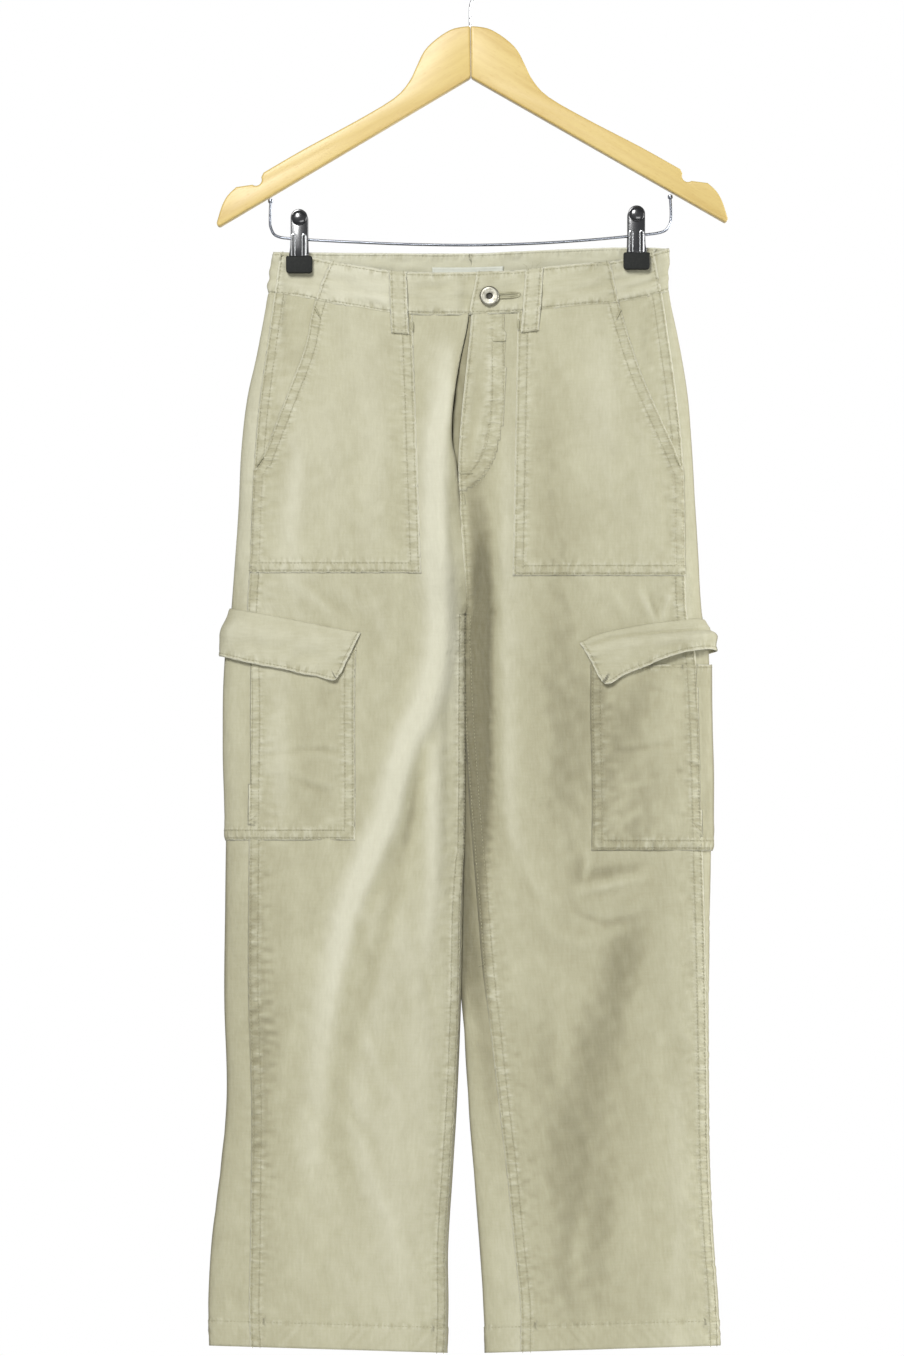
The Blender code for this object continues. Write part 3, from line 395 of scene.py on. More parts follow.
def atTurn(leg, turn, down):
    turn = np.where(turn > 2.0, turn - 2.0, turn)
    x = plainSection(leg, turn, down)[0]
    points = np.zeros(turn.shape + (3,))
    for side, mask in (("front", turn <= 1.0), ("back", turn > 1.0)):
        points[mask] = legPoint(leg, side, x[mask], down[mask])
    return points


def running(x, y):
    steps = np.hypot(np.diff(x, axis=1), np.diff(y, axis=1))
    return np.concatenate([np.zeros((len(x), 1)), np.cumsum(steps, axis=1)], axis=1)


def spread(values, count):
    return np.repeat(np.asarray(values, float)[:, None], count, axis=1)


def lanes(starts, ends, downs, count):
    # places spread evenly from one line to another
    share = np.linspace(0.0, 1.0, count)
    return starts[:, None] + (ends - starts)[:, None] * share, spread(downs, count)


def legGrid(leg, downs, starts, ends, columns, tuck=(0.0, 0.0), fine=240):
    # a panel's points and their distances from its two seams; the tucks carry it on under its neighbours
    turn = starts[:, None] + (ends - starts)[:, None] * np.linspace(-0.06, 1.06, fine + 1)
    turn = np.where(starts[:, None] < 0.02, np.maximum(turn, 0.0), turn)
    arc = running(*plainSection(leg, turn, spread(downs, fine + 1)))
    arc = arc - np.array([np.interp(a, t, r) for a, t, r in zip(starts, turn, arc)])[:, None]
    full = np.array([np.interp(b, t, r) for b, t, r in zip(ends, turn, arc)])
    reach = np.linspace(0.01 - tuck[0] + 0.0 * full, full - 0.01 + tuck[1], columns + 1, axis=1)
    turns = np.array([np.interp(*row) for row in zip(reach, arc, turn)])
    return atTurn(leg, turns, spread(downs, columns + 1)), reach, full[:, None] - reach


def sideArc(leg, turn, level):
    # the way round a section from the side fold, negative on the front
    arc = running(*plainSection(leg, turn[None, :], np.full((1, len(turn)), level)))[0]
    return arc - np.interp(1.0, turn, arc)


def seamReach(leg, downs, fine=200):
    turn = np.linspace(0.4, 1.0, fine + 1)
    return np.array([np.interp(seam, turn, sideArc(leg, turn, down))
                     for down, seam in zip(downs, seamTurn(leg, downs))])


def roundSide(leg, down, reach, fine=360):
    # points at a distance round the leg from its side fold
    turn, column = np.linspace(0.30, 1.70, fine + 1), np.arange(reach.shape[1])
    grid = np.empty(reach.shape + (3,))
    for r, row in enumerate(down):
        levels = np.linspace(row.min(), row.max(), 5)
        turns = np.array([np.interp(reach[r], sideArc(leg, turn, level), turn) for level in levels])
        place = np.clip((row - levels[0]) / max(1e-6, levels[-1] - levels[0]), 0.0, 1.0) * 4.0
        low = np.minimum(place.astype(int), 3)
        share = place - low
        grid[r] = atTurn(leg, turns[low, column] * (1 - share) + turns[low + 1, column] * share, row)
    return grid


def facing(grid):
    # unit normals, and 1 where they point outwards or -1
    normal = np.cross(np.gradient(grid, axis=1), np.gradient(grid, axis=0))
    normal /= np.maximum(np.linalg.norm(normal, axis=2, keepdims=True), 1e-9)
    return normal, (1.0 if (normal[..., 1] * grid[..., 1]).sum() > 0 else -1.0)


def pushed(grid, amount):
    normal, sign = facing(grid)
    return grid + normal * sign * amount[..., None]


def bend(grid, step):
    # how far each point stands out from its neighbours: ridges above 0, hollows below
    depth = np.abs(grid[..., 1])
    padded = np.pad(depth, step, mode="edge")
    rows, columns = depth.shape
    around = sum(padded[step + dr:step + dr + rows, step + dc:step + dc + columns]
                 for dr, dc in ((-step, 0), (step, 0), (0, -step), (0, step)))
    return depth - 0.25 * around


def ripple(along, seed):
    picks = np.random.default_rng(seed)
    total = np.zeros_like(along)
    for length, height in ((7.6, 0.35), (10.3, 0.5), (14.9, 0.4), (23.0, 0.3)):
        total += height * np.sin(2 * pi * along / (length * picks.uniform(0.9, 1.1)) + picks.uniform(0, 6.3))
    return total * (0.75 + 0.4 * np.sin(2 * pi * along / 61.0 + picks.uniform(0, 6.3)))


def sewnBand(distance, along, seed, raised=0.55, width=10.5, pucker=0.36):
    # a felled or turned edge: a step up, with puckers that run out past its inner stitches
    far = 0.9 * pucker * hump(distance - width - 6.0, 9.0) * ease(width - 4.0, width + 4.0, distance)
    return (raised * ease(width + 1.6, width - 0.8, distance)
            + pucker * hump(distance - 0.5 * width, 0.62 * width) * ripple(along + 0.35 * distance, seed)
            + far * waves(distance, along, 17.0, seed + 300, stretch=0.5))


def puckers(height, far, width, along, seed):
    # small puckers along one row of stitches
    return height * ripple(along, seed) * hump(far, width)


def pocketEdges(low, edges, seed):
    # a pocket stands out from its panel and is turned in at its edges
    rise = 1.4 - 1.22 * hump(low, 2.4)
    for n, (far, run) in enumerate(edges):
        rise = rise + sewnBand(far, run, seed + n, 0.16, pucker=0.34)
    return rise


def sewnFields(shape, doubles=(), singles=()):
    # distance from the nearest edge with two rows of stitches and with one, and the place along the closer
    fields = {"seam": np.full(shape, seamFar), "edge": np.full(shape, seamFar), "along": np.zeros(shape)}
    closest = np.full(shape, seamFar)
    for kind, edges in (("seam", doubles), ("edge", singles)):
        for far, run in edges:
            fields[kind] = np.minimum(fields[kind], far)
            fields["along"] = np.where(far < closest, run, fields["along"])
            closest = np.minimum(closest, far)
    return fields


stitchLines = []


def lineOnGrid(grid, rows, columns, lift=0.12):
    normal, sign = facing(grid)
    r = np.clip(np.asarray(rows, float), 0, grid.shape[0] - 1.001)
    c = np.clip(np.asarray(columns, float), 0, grid.shape[1] - 1.001)
    r0, c0 = r.astype(int), c.astype(int)
    fr, fc = (r - r0)[:, None], (c - c0)[:, None]
    field = grid + normal * sign * lift
    return ((field[r0, c0] * (1 - fc) + field[r0, c0 + 1] * fc) * (1 - fr)
            + (field[r0 + 1, c0] * (1 - fc) + field[r0 + 1, c0 + 1] * fc) * fr)


def placeIn(line, value):
    # the place in a rising or falling row of numbers
    index = np.arange(len(line))
    return np.interp(value, line[::-1], index[::-1]) if line[0] > line[-1] else np.interp(value, line, index)


def sew(grid, distance, at, first=0.0, last=1.0, across=False):
    # a row of stitches down a panel or across it, at one distance from an edge
    lines = distance.T if across else distance
    steps = np.arange(round(first * (len(lines) - 1)), round(last * (len(lines) - 1)) + 1)
    places = [placeIn(lines[step], at) for step in steps]
    stitchLines.append(lineOnGrid(grid, places, steps) if across else lineOnGrid(grid, steps, places))


def makeMesh(name, points, faces, edges=()):
    mesh = bpy.data.meshes.new(name)
    mesh.from_pydata([tuple(p) for p in points], edges, faces)
    mesh.update()
    obj = bpy.data.objects.new(name, mesh)
    bpy.context.scene.collection.objects.link(obj)
    return obj


def applyModifiers(obj):
    mesh = bpy.data.meshes.new_from_object(obj.evaluated_get(bpy.context.evaluated_depsgraph_get()))
    old = obj.data
    obj.modifiers.clear()
    obj.data = mesh
    bpy.data.meshes.remove(old)
    mesh.name = obj.name


def clothPiece(name, grid, wall, fields, weave, paintedShading=0.0, look=None, inside=None):
    # the grid is the outer face, the wall lies inside, and the shader reads where the seams are and the
    # painted light and shade, partly wear, of each point
    rows, columns = grid.shape[:2]
    index = np.arange(rows * columns).reshape(rows, columns)
    quads = np.stack([index[:-1, :-1], index[1:, :-1], index[1:, 1:], index[:-1, 1:]], axis=-1).reshape(-1, 4)
    if facing(grid)[1] > 0:
        quads = quads[:, ::-1]
    obj = makeMesh(name, grid.reshape(-1, 3) * mm, quads.tolist())
    mesh = obj.data
    # ridges get a painted highlight, partly wear, and hollows a painted shade, with the painted tone given on
    # top
    shadingAndWear = np.clip(sum(bend(grid, step) * share for step, share in shadingShares) + paintedShading, *shadingLimits)
    for label, field in (*fields.items(), ("shadingAndWear", shadingAndWear)):
        attribute = mesh.attributes.new(label, "FLOAT", "POINT")
        attribute.data.foreach_set("value", np.ascontiguousarray(field.reshape(-1), dtype=np.float32))
    loops = np.empty(len(mesh.loops), dtype=np.int32)
    mesh.loops.foreach_get("vertex_index", loops)
    places = (np.stack(weave, axis=-1).reshape(-1, 2)[loops] * 0.01).astype(np.float32)
    mesh.uv_layers.new(name="weave").data.foreach_set("uv", places.reshape(-1))
    material, slot = look or twill
    for each in (material, inside) if inside else (material,):
        mesh.materials.append(each)
    shell = obj.modifiers.new("wall", "SOLIDIFY")
    shell.thickness, shell.offset = wall * mm, -1.0
    shell.material_offset = 1 if inside else 0
    applyModifiers(obj)
    obj.data.shade_smooth()
    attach(obj, "root")
    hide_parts(name)


class Shade:
    # a value in a shader, worked out with plain operators
    def __init__(self, tree, socket):
        self.tree, self.socket = tree, socket

    def math(self, kind, *others, clamp=False):
        node = self.tree.nodes.new("ShaderNodeMath")
        node.operation, node.use_clamp = kind, clamp
        for slot, value in zip(node.inputs, (self,) + others):
            fill(self.tree, slot, value)
        return Shade(self.tree, node.outputs[0])

    __add__ = __radd__ = partialmethod(math, "ADD")
    __mul__ = __rmul__ = partialmethod(math, "MULTIPLY")
    __sub__, __truediv__ = partialmethod(math, "SUBTRACT"), partialmethod(math, "DIVIDE")
    __neg__ = partialmethod(math, "MULTIPLY", -1.0)

    def __rsub__(self, other):
        return -self + other

    def clamped(self):
        return self.math("ADD", 0.0, clamp=True)

    def between(self, low, high):
        node = self.tree.nodes.new("ShaderNodeMapRange")
        node.interpolation_type = "SMOOTHSTEP"
        for label, value in (("From Min", low), ("From Max", high), ("Value", self)):
            fill(self.tree, node.inputs[label], value)
        return Shade(self.tree, node.outputs["Result"])

    def bell(self, middle, width):
        off = (self - middle) / width
        return (off * off * -1.0).math("EXPONENT")


def fill(tree, slot, value):
    if isinstance(value, Shade):
        tree.links.new(value.socket, slot)
    else:
        slot.default_value = (*value, 1.0) if slot.type == "RGBA" else value


def parts(tree, vector):
    split = tree.nodes.new("ShaderNodeSeparateXYZ")
    tree.links.new(vector, split.inputs[0])
    return (Shade(tree, output) for output in split.outputs)


class Look:
    # a material being built
    def __init__(self, name, **constants):
        self.material = bpy.data.materials.new(name)
        self.material.use_nodes = True
        self.tree = self.material.node_tree
        self.shader = self.tree.nodes["Principled BSDF"]
        self.place = self.node("ShaderNodeTexCoord", "Object")
        self.done(**constants)

    def node(self, kind, output=0, settings=None, **inputs):
        node = self.tree.nodes.new(kind)
        for label, value in (settings or {}).items():
            setattr(node, label, value)
        for label, value in inputs.items():
            fill(self.tree, node.inputs[label.replace("_", " ")], value)
        return Shade(self.tree, node.outputs[output])

    def attribute(self, name):
        return self.node("ShaderNodeAttribute", "Fac", {"attribute_name": name})

    def noise(self, vector, scale=1.0, detail=2.0, roughness=0.5, stretch=None, turn=(0.0, 0.0, 0.0)):
        if stretch:
            vector = self.node("ShaderNodeMapping", Vector=vector, Scale=stretch, Rotation=turn)
        return self.node("ShaderNodeTexNoise", Vector=vector, Scale=scale, Detail=detail, Roughness=roughness)

    def mix(self, share, first, second):
        node = self.tree.nodes.new("ShaderNodeMix")
        node.data_type = "RGBA"
        for index, value in ((0, share), (6, first), (7, second)):
            fill(self.tree, node.inputs[index], value)
        return Shade(self.tree, node.outputs[2])

    def bump(self, height, strength, distance):
        return self.node("ShaderNodeBump", Strength=strength, Distance=distance, Height=height)

    def done(self, **inputs):
        for label, value in inputs.items():
            fill(self.tree, self.shader.inputs[label.replace("_", " ")], value)
        return self.material


# The twill's colours: base and wash are its own mottled tone; the lighter one stands for wear and painted
# highlights, the darker one for painted shade and darker yarn, and shadow for a painted shadow in the deepest
# hollows
twillLook = {
    "base": (0.452, 0.438, 0.306), "worn": (0.62, 0.61, 0.49), "deep": (0.235, 0.212, 0.115),
    "wash": (0.355, 0.337, 0.222), "shadow": (0.078, 0.066, 0.024), "threads": 0.36, "pucker": 2.0,
    "wrinkle": 2.1, "crinkle": 0.55, "weave": 0.10,
}


def makeTwill(name="washedTwill", **changes):
    look = {**twillLook, **changes}
    m = Look(name, Roughness=0.92, Specular_IOR_Level=0.15, Sheen_Weight=0.10, Sheen_Roughness=0.6)
    weave = m.node("ShaderNodeUVMap", settings={"uv_map": "weave"})
    seam, edge, along, shadingAndWear = (m.attribute(label) for label in ("seam", "edge", "along", "shadingAndWear"))
    cloudy = m.noise(m.place, 9.0, 3.0, 0.6)
    blotch = m.noise(m.place, 1.0, 4.0, 0.6, (64.0, 64.0, 30.0))
    streaks = m.noise(weave, 1.0, 3.0, 0.6, (46.0, 7.5, 1.0))
    slubs = m.noise(weave, 1.0, 2.0, 0.6, (6.0, 60.0, 1.0))
    grain = m.noise(weave, 0.45, 2.0, 0.6, (520.0, 170.0, 1.0), (0.0, 0.0, radians(-58)))
    # puckers between the rows of a seam, which fade out beyond them; in the colour their tops get a painted
    # highlight and their troughs a painted shade
    ladder = m.node("ShaderNodeCombineXYZ", X=along / 4.3, Y=seam / 13.0, Z=edge / 13.0)
    sewn = (seam.between(0.0, 1.6) * (1.0 - seam.between(8.6, 17.0))
            + edge.between(0.0, 1.2) * (1.0 - edge.between(3.4, 10.0))).clamped()
    ladder = (m.noise(ladder, 1.0, 2.0, 0.55) - 0.5) * sewn
    # colour: mottled wash; ridges lighter as painted highlight and partly wear, seam edges lighter as wear
    # and painted highlight; hollows and stitch rows darker as painted shade
    shade = m.mix(((cloudy - 0.4) * 1.4 + (blotch - 0.5) * 1.8 + 0.35).clamped(), look["base"], look["wash"])
    # seam and turned edges lighter, partly wear and partly a painted highlight, with a painted highlight on
    # the puckers' tops
    rim = seam.bell(0.0, 1.0) * 0.5 + edge.bell(0.0, 1.0) * 0.5 + seam.bell(10.8, 1.2) * 0.16 + ladder * 1.9
    turned = (seam.bell(0.0, 0.85) + edge.bell(0.0, 0.85)) * 0.75
    patchy = m.noise(m.place, 170.0, 2.0, 0.6) * 1.6 + 0.1
    shade = m.mix((shadingAndWear.math("MAXIMUM", 0.0) * 0.50 + rim * patchy + turned).clamped(), shade, look["worn"])
    # painted shade along the stitch rows and in their needle holes
    rows = seam.bell(seamRows[0], 0.6) + seam.bell(seamRows[1], 0.6) + edge.bell(edgeRow, 0.6)
    holes = rows * (along * (2.0 * pi / stitching["pitch"])).math("SINE").between(0.1, 0.9)
    # painted shade in hollows and in the puckers' troughs
    hollow = (-shadingAndWear).math("MAXIMUM", 0.0) * 0.50 + rows * 0.12 + holes * 0.40 - ladder * 1.7
    shade = m.mix(hollow.clamped(), shade, look["deep"])
    # a painted shadow in the deepest hollows
    shade = m.mix(((-shadingAndWear - 0.7) * 0.75).clamped(), shade, look["shadow"])
    threads = (streaks - 0.5) * 0.55 + (slubs - 0.5) * 0.25 + (grain - 0.5) * 0.35
    shade = m.mix((threads + 0.5).clamped() * look["threads"], shade, look["worn"])
    shade = m.mix((0.5 - threads).clamped() * look["threads"], shade, look["deep"])
    # height, in millimetres
    wrinkle = m.noise(m.place, 1.0, 3.0, 0.5, (55.0, 55.0, 30.0))
    crinkle = m.noise(m.place, 1.0, 2.0, 0.55, (190.0, 190.0, 120.0))
    height = (wrinkle * look["wrinkle"] + crinkle * look["crinkle"] + grain * look["weave"] + streaks * 0.06
              + m.noise(m.place, 900.0, 1.0, 0.5) * 0.03
              + ladder * look["pucker"] - rows * 0.3 - seam.between(9.9, 11.2) * 0.2)
    return m.done(Base_Color=shade, Normal=m.bump(height, 1.0, mm))


def makeBeech():
    m = Look("lacqueredBeech", Roughness=0.42, Specular_IOR_Level=0.4, Coat_Weight=0.12, Coat_Roughness=0.25)
    x, y, z = parts(m.tree, m.place.socket)
    side = x.math("ABSOLUTE")
    # the grain runs down each arm
    lengthwise, crosswise = side * 0.86 - z * 0.51, side * 0.51 + z * 0.86
    grain = m.node("ShaderNodeCombineXYZ", X=lengthwise * 9.0, Y=y * 60.0, Z=crosswise * 120.0)
    flecks = m.node("ShaderNodeCombineXYZ", X=lengthwise * 160.0, Y=y * 500.0, Z=crosswise * 1400.0)
    grain, flecks = m.noise(grain, 1.0, 4.0, 0.6), m.noise(flecks, 1.0, 1.0).between(0.60, 0.72)
    shade = m.mix(grain.between(0.3, 0.75), (0.58, 0.44, 0.160), (0.49, 0.345, 0.108))
    shade = m.mix(flecks * 0.35, shade, (0.42, 0.26, 0.075))
    shade = m.mix((m.noise(m.place, 12.0) - 0.4) * 0.6, shade, (0.66, 0.53, 0.26))
    return m.done(Base_Color=shade, Normal=m.bump(flecks * -0.06 + grain * 0.1, 0.5, mm))


def makePlain(name, base, other, spots, scale, bump=0.0, **constants):
    # one colour with spots of another
    m = Look(name, **constants)
    noise = m.noise(m.place, scale)
    if bump:
        m.done(Normal=m.bump(noise, 0.5, bump * mm))
    return m.done(Base_Color=m.mix(noise.between(0.4, 0.7) * spots, base, other))


stitching = {"pitch": 3.1, "length": 2.3, "thick": 0.62}

# Each look with its slot
twill = makeTwill(), "twill"
# the waistband's inside is painted paler, as light shining through the cloth
paintedLitInside = makeTwill("paintedLitInsideTwill", base=(0.50, 0.49, 0.37), wash=(0.45, 0.435, 0.31),
                        worn=(0.66, 0.655, 0.54), deep=(0.30, 0.28, 0.18))
beech = makeBeech(), "beech"
barSteel = makePlain("barSteel", (0.30, 0.32, 0.36), (0.20, 0.215, 0.25), 0.6, 90.0,
                     Roughness=0.24, Metallic=1.0), "wire_steel"
chrome = makePlain("platedWire", (0.72, 0.73, 0.74), (0.55, 0.56, 0.57), 0.5, 90.0,
                   Roughness=0.18, Metallic=1.0), "wire_steel"
blackPlastic = makePlain("clipPlastic", (0.012, 0.013, 0.015), (0.02, 0.021, 0.023), 0.4, 200.0,
                         Roughness=0.22, Coat_Weight=0.5, Coat_Roughness=0.08), "clip_black"
rubber = makePlain("padRubber", (0.010, 0.011, 0.010), (0.018, 0.019, 0.017), 0.6, 700.0, 0.2,
                   Roughness=0.7, Specular_IOR_Level=0.25), "pad_rubber"
oldSilver = makePlain("oldSilver", (0.35, 0.34, 0.285), (0.19, 0.178, 0.14), 0.8, 260.0, 0.3,
                      Roughness=0.40, Metallic=0.85), "button_metal"
# near black, painted as the shade in the button's hole
holeShade = makePlain("paintedHoleShade", (0.03, 0.028, 0.022), (0.05, 0.046, 0.036), 0.6, 300.0,
                    Roughness=0.5, Metallic=0.5)
thread = makePlain("thread", (0.385, 0.37, 0.255), (0.30, 0.285, 0.185), 0.8, 120.0,
                   Roughness=0.85, Specular_IOR_Level=0.2), "twill"
satin = makePlain("labelSatin", (0.55, 0.565, 0.485), (0.47, 0.485, 0.41), 0.5, 140.0, 0.1,
                  Roughness=0.42, Sheen_Weight=0.2), "label_cloth"
print("materials made")

# The garment's panels. Mouths, the fly's edge and its stitches are rows of down and x.
patchSizes = {
    "right": {"bottom": 281.0, "innerTop": -50.5, "innerBottom": -42.5,
              "mouth": ((0, -122.0), (41, -136.9), (80, -144.8), (118, -157.5), (157, -171.9),
                        (181, -181.6), (190, -187.2))},
    "left": {"bottom": 283.5, "innerTop": 40.7, "innerBottom": 36.3,
             "mouth": ((0, 121.5), (42, 131.3), (102, 148.8), (145, 165.3), (179, 179.8), (190, 183.9))},
}
fly = {
    "edge": ((38, 29.5), (120, 29.0), (151, 25.5), (178, 18.0), (199, 4.0), (206, -8.0)),
    "stitches": (((60, 28.4), (113, 28.4), (151, 25.3), (178.5, 18.8), (199, 5.2), (200, -12.0)),
                 ((60, 18.8), (113, 18.8), (148, 16.2), (169, 10.8), (184, 2.0), (187, -11.0))),
}
# Rows and columns of the legs' grids
legGrids = {"front": (402, 88), "back": (352, 84)}
# how dark the painted shadow is on each back panel's strip inside the other leg
hiddenStripShadow = {"right": 0.45, "left": 1.5}
panels = {}


def offLine(x, line, downs):
    # how far x lies from a slanted line, square to it
    return (x - line[:, None]) / np.sqrt(1.0 + np.gradient(line, downs) ** 2)[:, None]


def makeLegPanel(leg, side):
    front = side == "front"
    rows, columns = legGrids[side]
    downs = np.linspace(band - 1.6, hem, rows)
    lower, under = downs > crotch, ease(crotch + 2.0, crotch + 14.0, downs)
    inseam = np.where(lower, legSize(leg, "inseam", downs), legSize(leg, "frontInner", downs))
    inseam, seam = turnOf(leg, inseam, downs), seamTurn(leg, downs)
    if front:
        grid, inner, outer = legGrid(leg, downs, inseam, seam, columns)
    else:
        last = 2.0 + np.where(lower, inseam, 0.0)
        grid, outer, inner = legGrid(leg, downs, seam, last, columns, (2.2, 2.2 * under))
    down = spread(downs, grid.shape[1])
    seed = seeds["panel"] + 7 * (leg == "left") + 3 * (not front)
    legShare, hemShare = ease(crotch - 25.0, crotch + 25.0, down), ease(hem + 2, hem - 24, down)
    x, up = grid[..., 0].copy(), hem - down
    doubles = []
    besideSeam = 14.0 * ease(22.0, 4.0, np.minimum(inner, outer))
    singles = [(1.9 * np.abs(up - hemRow) + edgeRow + besideSeam, inner)]
    if front:
        rise = sewnBand(outer, down, seed, pucker=0.5) * hemShare
        rise += legShare * sewnBand(inner, down, seed + 1, 0.35, pucker=0.42) * hemShare
        doubles += [(outer, down), (np.where(legShare < 0.5, seamFar, inner), down)]
    else:
        rise = puckers(0.35, outer, 9.0, down, seed) * hemShare
        rise += (1.0 - legShare) * sewnBand(inner, down, seed + 1, 0.4)
        rise -= 0.75 * ease(0.9, -0.4, outer) + 0.75 * under[:, None] * ease(0.9, -0.4, inner)
        doubles.append((np.where(legShare < 0.5, np.maximum(inner, 0.0), seamFar), down))
    # the hem, twisted a little, and the top, which tucks in under the waistband
    rise += 0.6 * ease(23.5, 20.5, up) + puckers(0.30, up - 12.0, 11.0, inner + 0.8 * up, seed + 2)
    rise -= 0.5 * ease(band + 0.4, band - 1.4, down)
    if front and leg == "right":
        # above the crotch the cloth rolls in and passes under the fly
        lap = ease(6.0, 0.0, inner) * ease(150.0, 185.0, down) * ease(crotch + 4, crotch - 6, down)
        grid[..., 0] += 4.5 * lap
        rise -= 1.3 * lap
    if front and leg == "left":
        # the fly's own layer stands under the cloth as far as its curved stitching
        flyFar = -offLine(x, readCurve(fly["edge"], downs), downs)
        rise += 0.45 * ease(-1.4, 0.8, flyFar) * ease(203.0, 198.0, down)
        inFly = (flyFar > -1.2) & (down < fly["edge"][-1][0])
        doubles.append((np.where(inFly, seamRows[0] + (flyFar - 1.1) * 0.69, seamFar), down))
        singles.append((np.where(down < crotch, inner, seamFar), down))
    # painted highlights and painted shade on the panel
    paintedShading = creaseHeight(paintedShadingMarks, leg, side, x, down)
    if not front:
        # the strip that shows inside the other leg's inseam lies in its shadow, which is painted on it as a
        # darker colour
        hidden = ease(26.0, 0.0, inner) * legShare * ease(900.0, 700.0, down)
        paintedShading = paintedShading - hiddenStripShadow[leg] * hidden
    grid, reach = pushed(grid, rise), inner if front else outer
    fields = sewnFields(down.shape, doubles, singles)
    clothPiece(side + "_" + leg, grid, walls["panel"], fields, (reach, down),
               paintedShading)
    panels[side, leg] = {"grid": grid, "inner": inner, "outer": outer, "down": down, "x": x, "rise": rise}


for legName in legs:
    for sideName in ("front", "back"):
        makeLegPanel(legName, sideName)
print("leg panels made")


def panelField(panel, name, x, down):
    # a panel's own field, read at other places
    rows = np.interp(down[:, 0], panel["down"][:, 0], np.arange(len(panel["down"])))
    result = np.empty_like(x)
    for r, row in enumerate(np.round(rows).astype(int)):
        order = np.argsort(panel["x"][row])
        result[r] = np.interp(x[r], panel["x"][row][order], panel[name][row][order])
    return result


def makePatch(leg):
    patch, panel = patchSizes[leg], panels["front", leg]
    bottom = patch["bottom"]
    downs = np.linspace(band - 1.2, bottom, 123)
    length = downs[-1] - downs[0]
    inner = patch["innerTop"] + (patch["innerBottom"] - patch["innerTop"]) * (downs - band) / (bottom - band)
    mouth = readCurve(patch["mouth"], downs)
    edge = np.where(downs <= mouthEnd, mouth, legSize(leg, "seam", downs)) - 0.6 * legs[leg]
    width = np.abs(edge - inner)
    x, down = lanes(inner, edge, downs, 61)
    mouthFar = np.abs(offLine(x, mouth, downs))
    mouthFar = np.where(down < mouthEnd, mouthFar, np.hypot(mouthFar, down - mouthEnd))
    innerFar, bottomFar = np.abs(x - inner[:, None]), bottom - down
    belowMouth = np.where(down > mouthEnd - 12.0, panelField(panel, "outer", x, down), seamFar)
    # the places along the edges agree at the corners
    outerRun = 2.0 * bottom - width[:, None] - down
    fields = sewnFields(x.shape, ((innerFar, down), (bottomFar, bottom - innerFar), (mouthFar, outerRun),
                                  (belowMouth, outerRun)))
    rise = pocketEdges(np.minimum(innerFar, bottomFar), ((innerFar, down), (bottomFar, x), (mouthFar, down)),
                       seeds["patch"] + 5 * (leg == "left"))
    rise += panelField(panel, "rise", x, down)
    gape = np.sin(pi * np.clip((down - 36.0) / (mouthEnd - 36.0), 0.0, 1.0))
    rise += 0.6 * gape * hump(mouthFar, 12.0)
    grid = pushed(legPoint(leg, "front", x, down), rise)
    # the patch takes the same painted highlights and painted shade
    clothPiece("patch_" + leg, grid, walls["panel"], fields, (x, down),
               creaseHeight(paintedShadingMarks, leg, "front", x, down))
    for at in seamRows:
        sew(grid, innerFar, at, 0.0, 1.0 - at / length)
        sew(grid, bottomFar, at, at / width[-1], across=True)
        sew(grid, mouthFar, at, 0.0, 0.62)


for legName in legs:
    makePatch(legName)

# Creases: height, width and both ends as reach and down
# each pocket's tone paints it lighter or darker overall, as painted light and shade
cargoSizes = {
    "right": {"top": 346.0, "bottom": 515.0, "front": 119.0, "back": 69.0, "paintedShading": 0.0, "creases": (
        (-0.9, 3.4, (-110, 434), (-20, 441)), (0.9, 4.0, (-100, 468), (-58, 452)),
        (-0.8, 3.6, (-96, 474), (-62, 462)), (0.8, 5.0, (-30, 500), (-52, 392)),
        (0.7, 4.0, (-104, 492), (-84, 508)), (-0.7, 4.0, (10, 450), (60, 436)))},
    "left": {"top": 361.0, "bottom": 524.0, "front": 111.0, "back": 77.0, "paintedShading": -0.38, "creases": (
        (-0.9, 3.4, (-104, 438), (-34, 430)), (0.8, 4.0, (-96, 470), (-52, 462)),
        (0.8, 4.5, (-98, 512), (-66, 484)), (-0.7, 3.6, (-60, 380), (-30, 392)),
        (0.7, 5.0, (-44, 470), (-58, 400)), (-0.7, 4.0, (8, 430), (64, 446)))},
}
# Rows: reach, top, bottom, lift
# each flap's tone is a painted highlight that makes it lighter overall
flapSizes = {
    "right": {"slant": 18.0, "drop": 1.5, "paintedShading": 0.45, "rows": (
        (-122, 333, 379, 3.6), (-100, 329, 374, 3.8), (-60, 321, 366, 4.4),
        (-20, 314, 358, 5.6), (0, 312, 354, 6.0), (20, 313, 356, 5.2), (72, 322, 366, 3.6))},
    "left": {"slant": 19.0, "drop": 4.0, "paintedShading": 0.1, "rows": (
        (-119, 342, 380, 3.8), (-100, 334, 376, 4.0), (-60, 326, 361, 4.6), (-36, 323, 352, 5.0),
        (-12, 321, 348, 5.6), (0, 322, 350, 5.8), (20, 323, 356, 5.0), (80, 330, 372, 3.6))},
}


def lineBell(u, v, start, end, width):
    # 1 on a line between two points, falling off to both sides and past its ends
    runU, runV = end[0] - start[0], end[1] - start[1]
    t = np.clip(((u - start[0]) * runU + (v - start[1]) * runV) / (runU ** 2 + runV ** 2), 0.0, 1.0)
    far = np.hypot(u - start[0] - t * runU, v - start[1] - t * runV)
    return hump(far, width) * np.sin(pi * np.clip(t, 0.04, 0.96)) ** 0.5


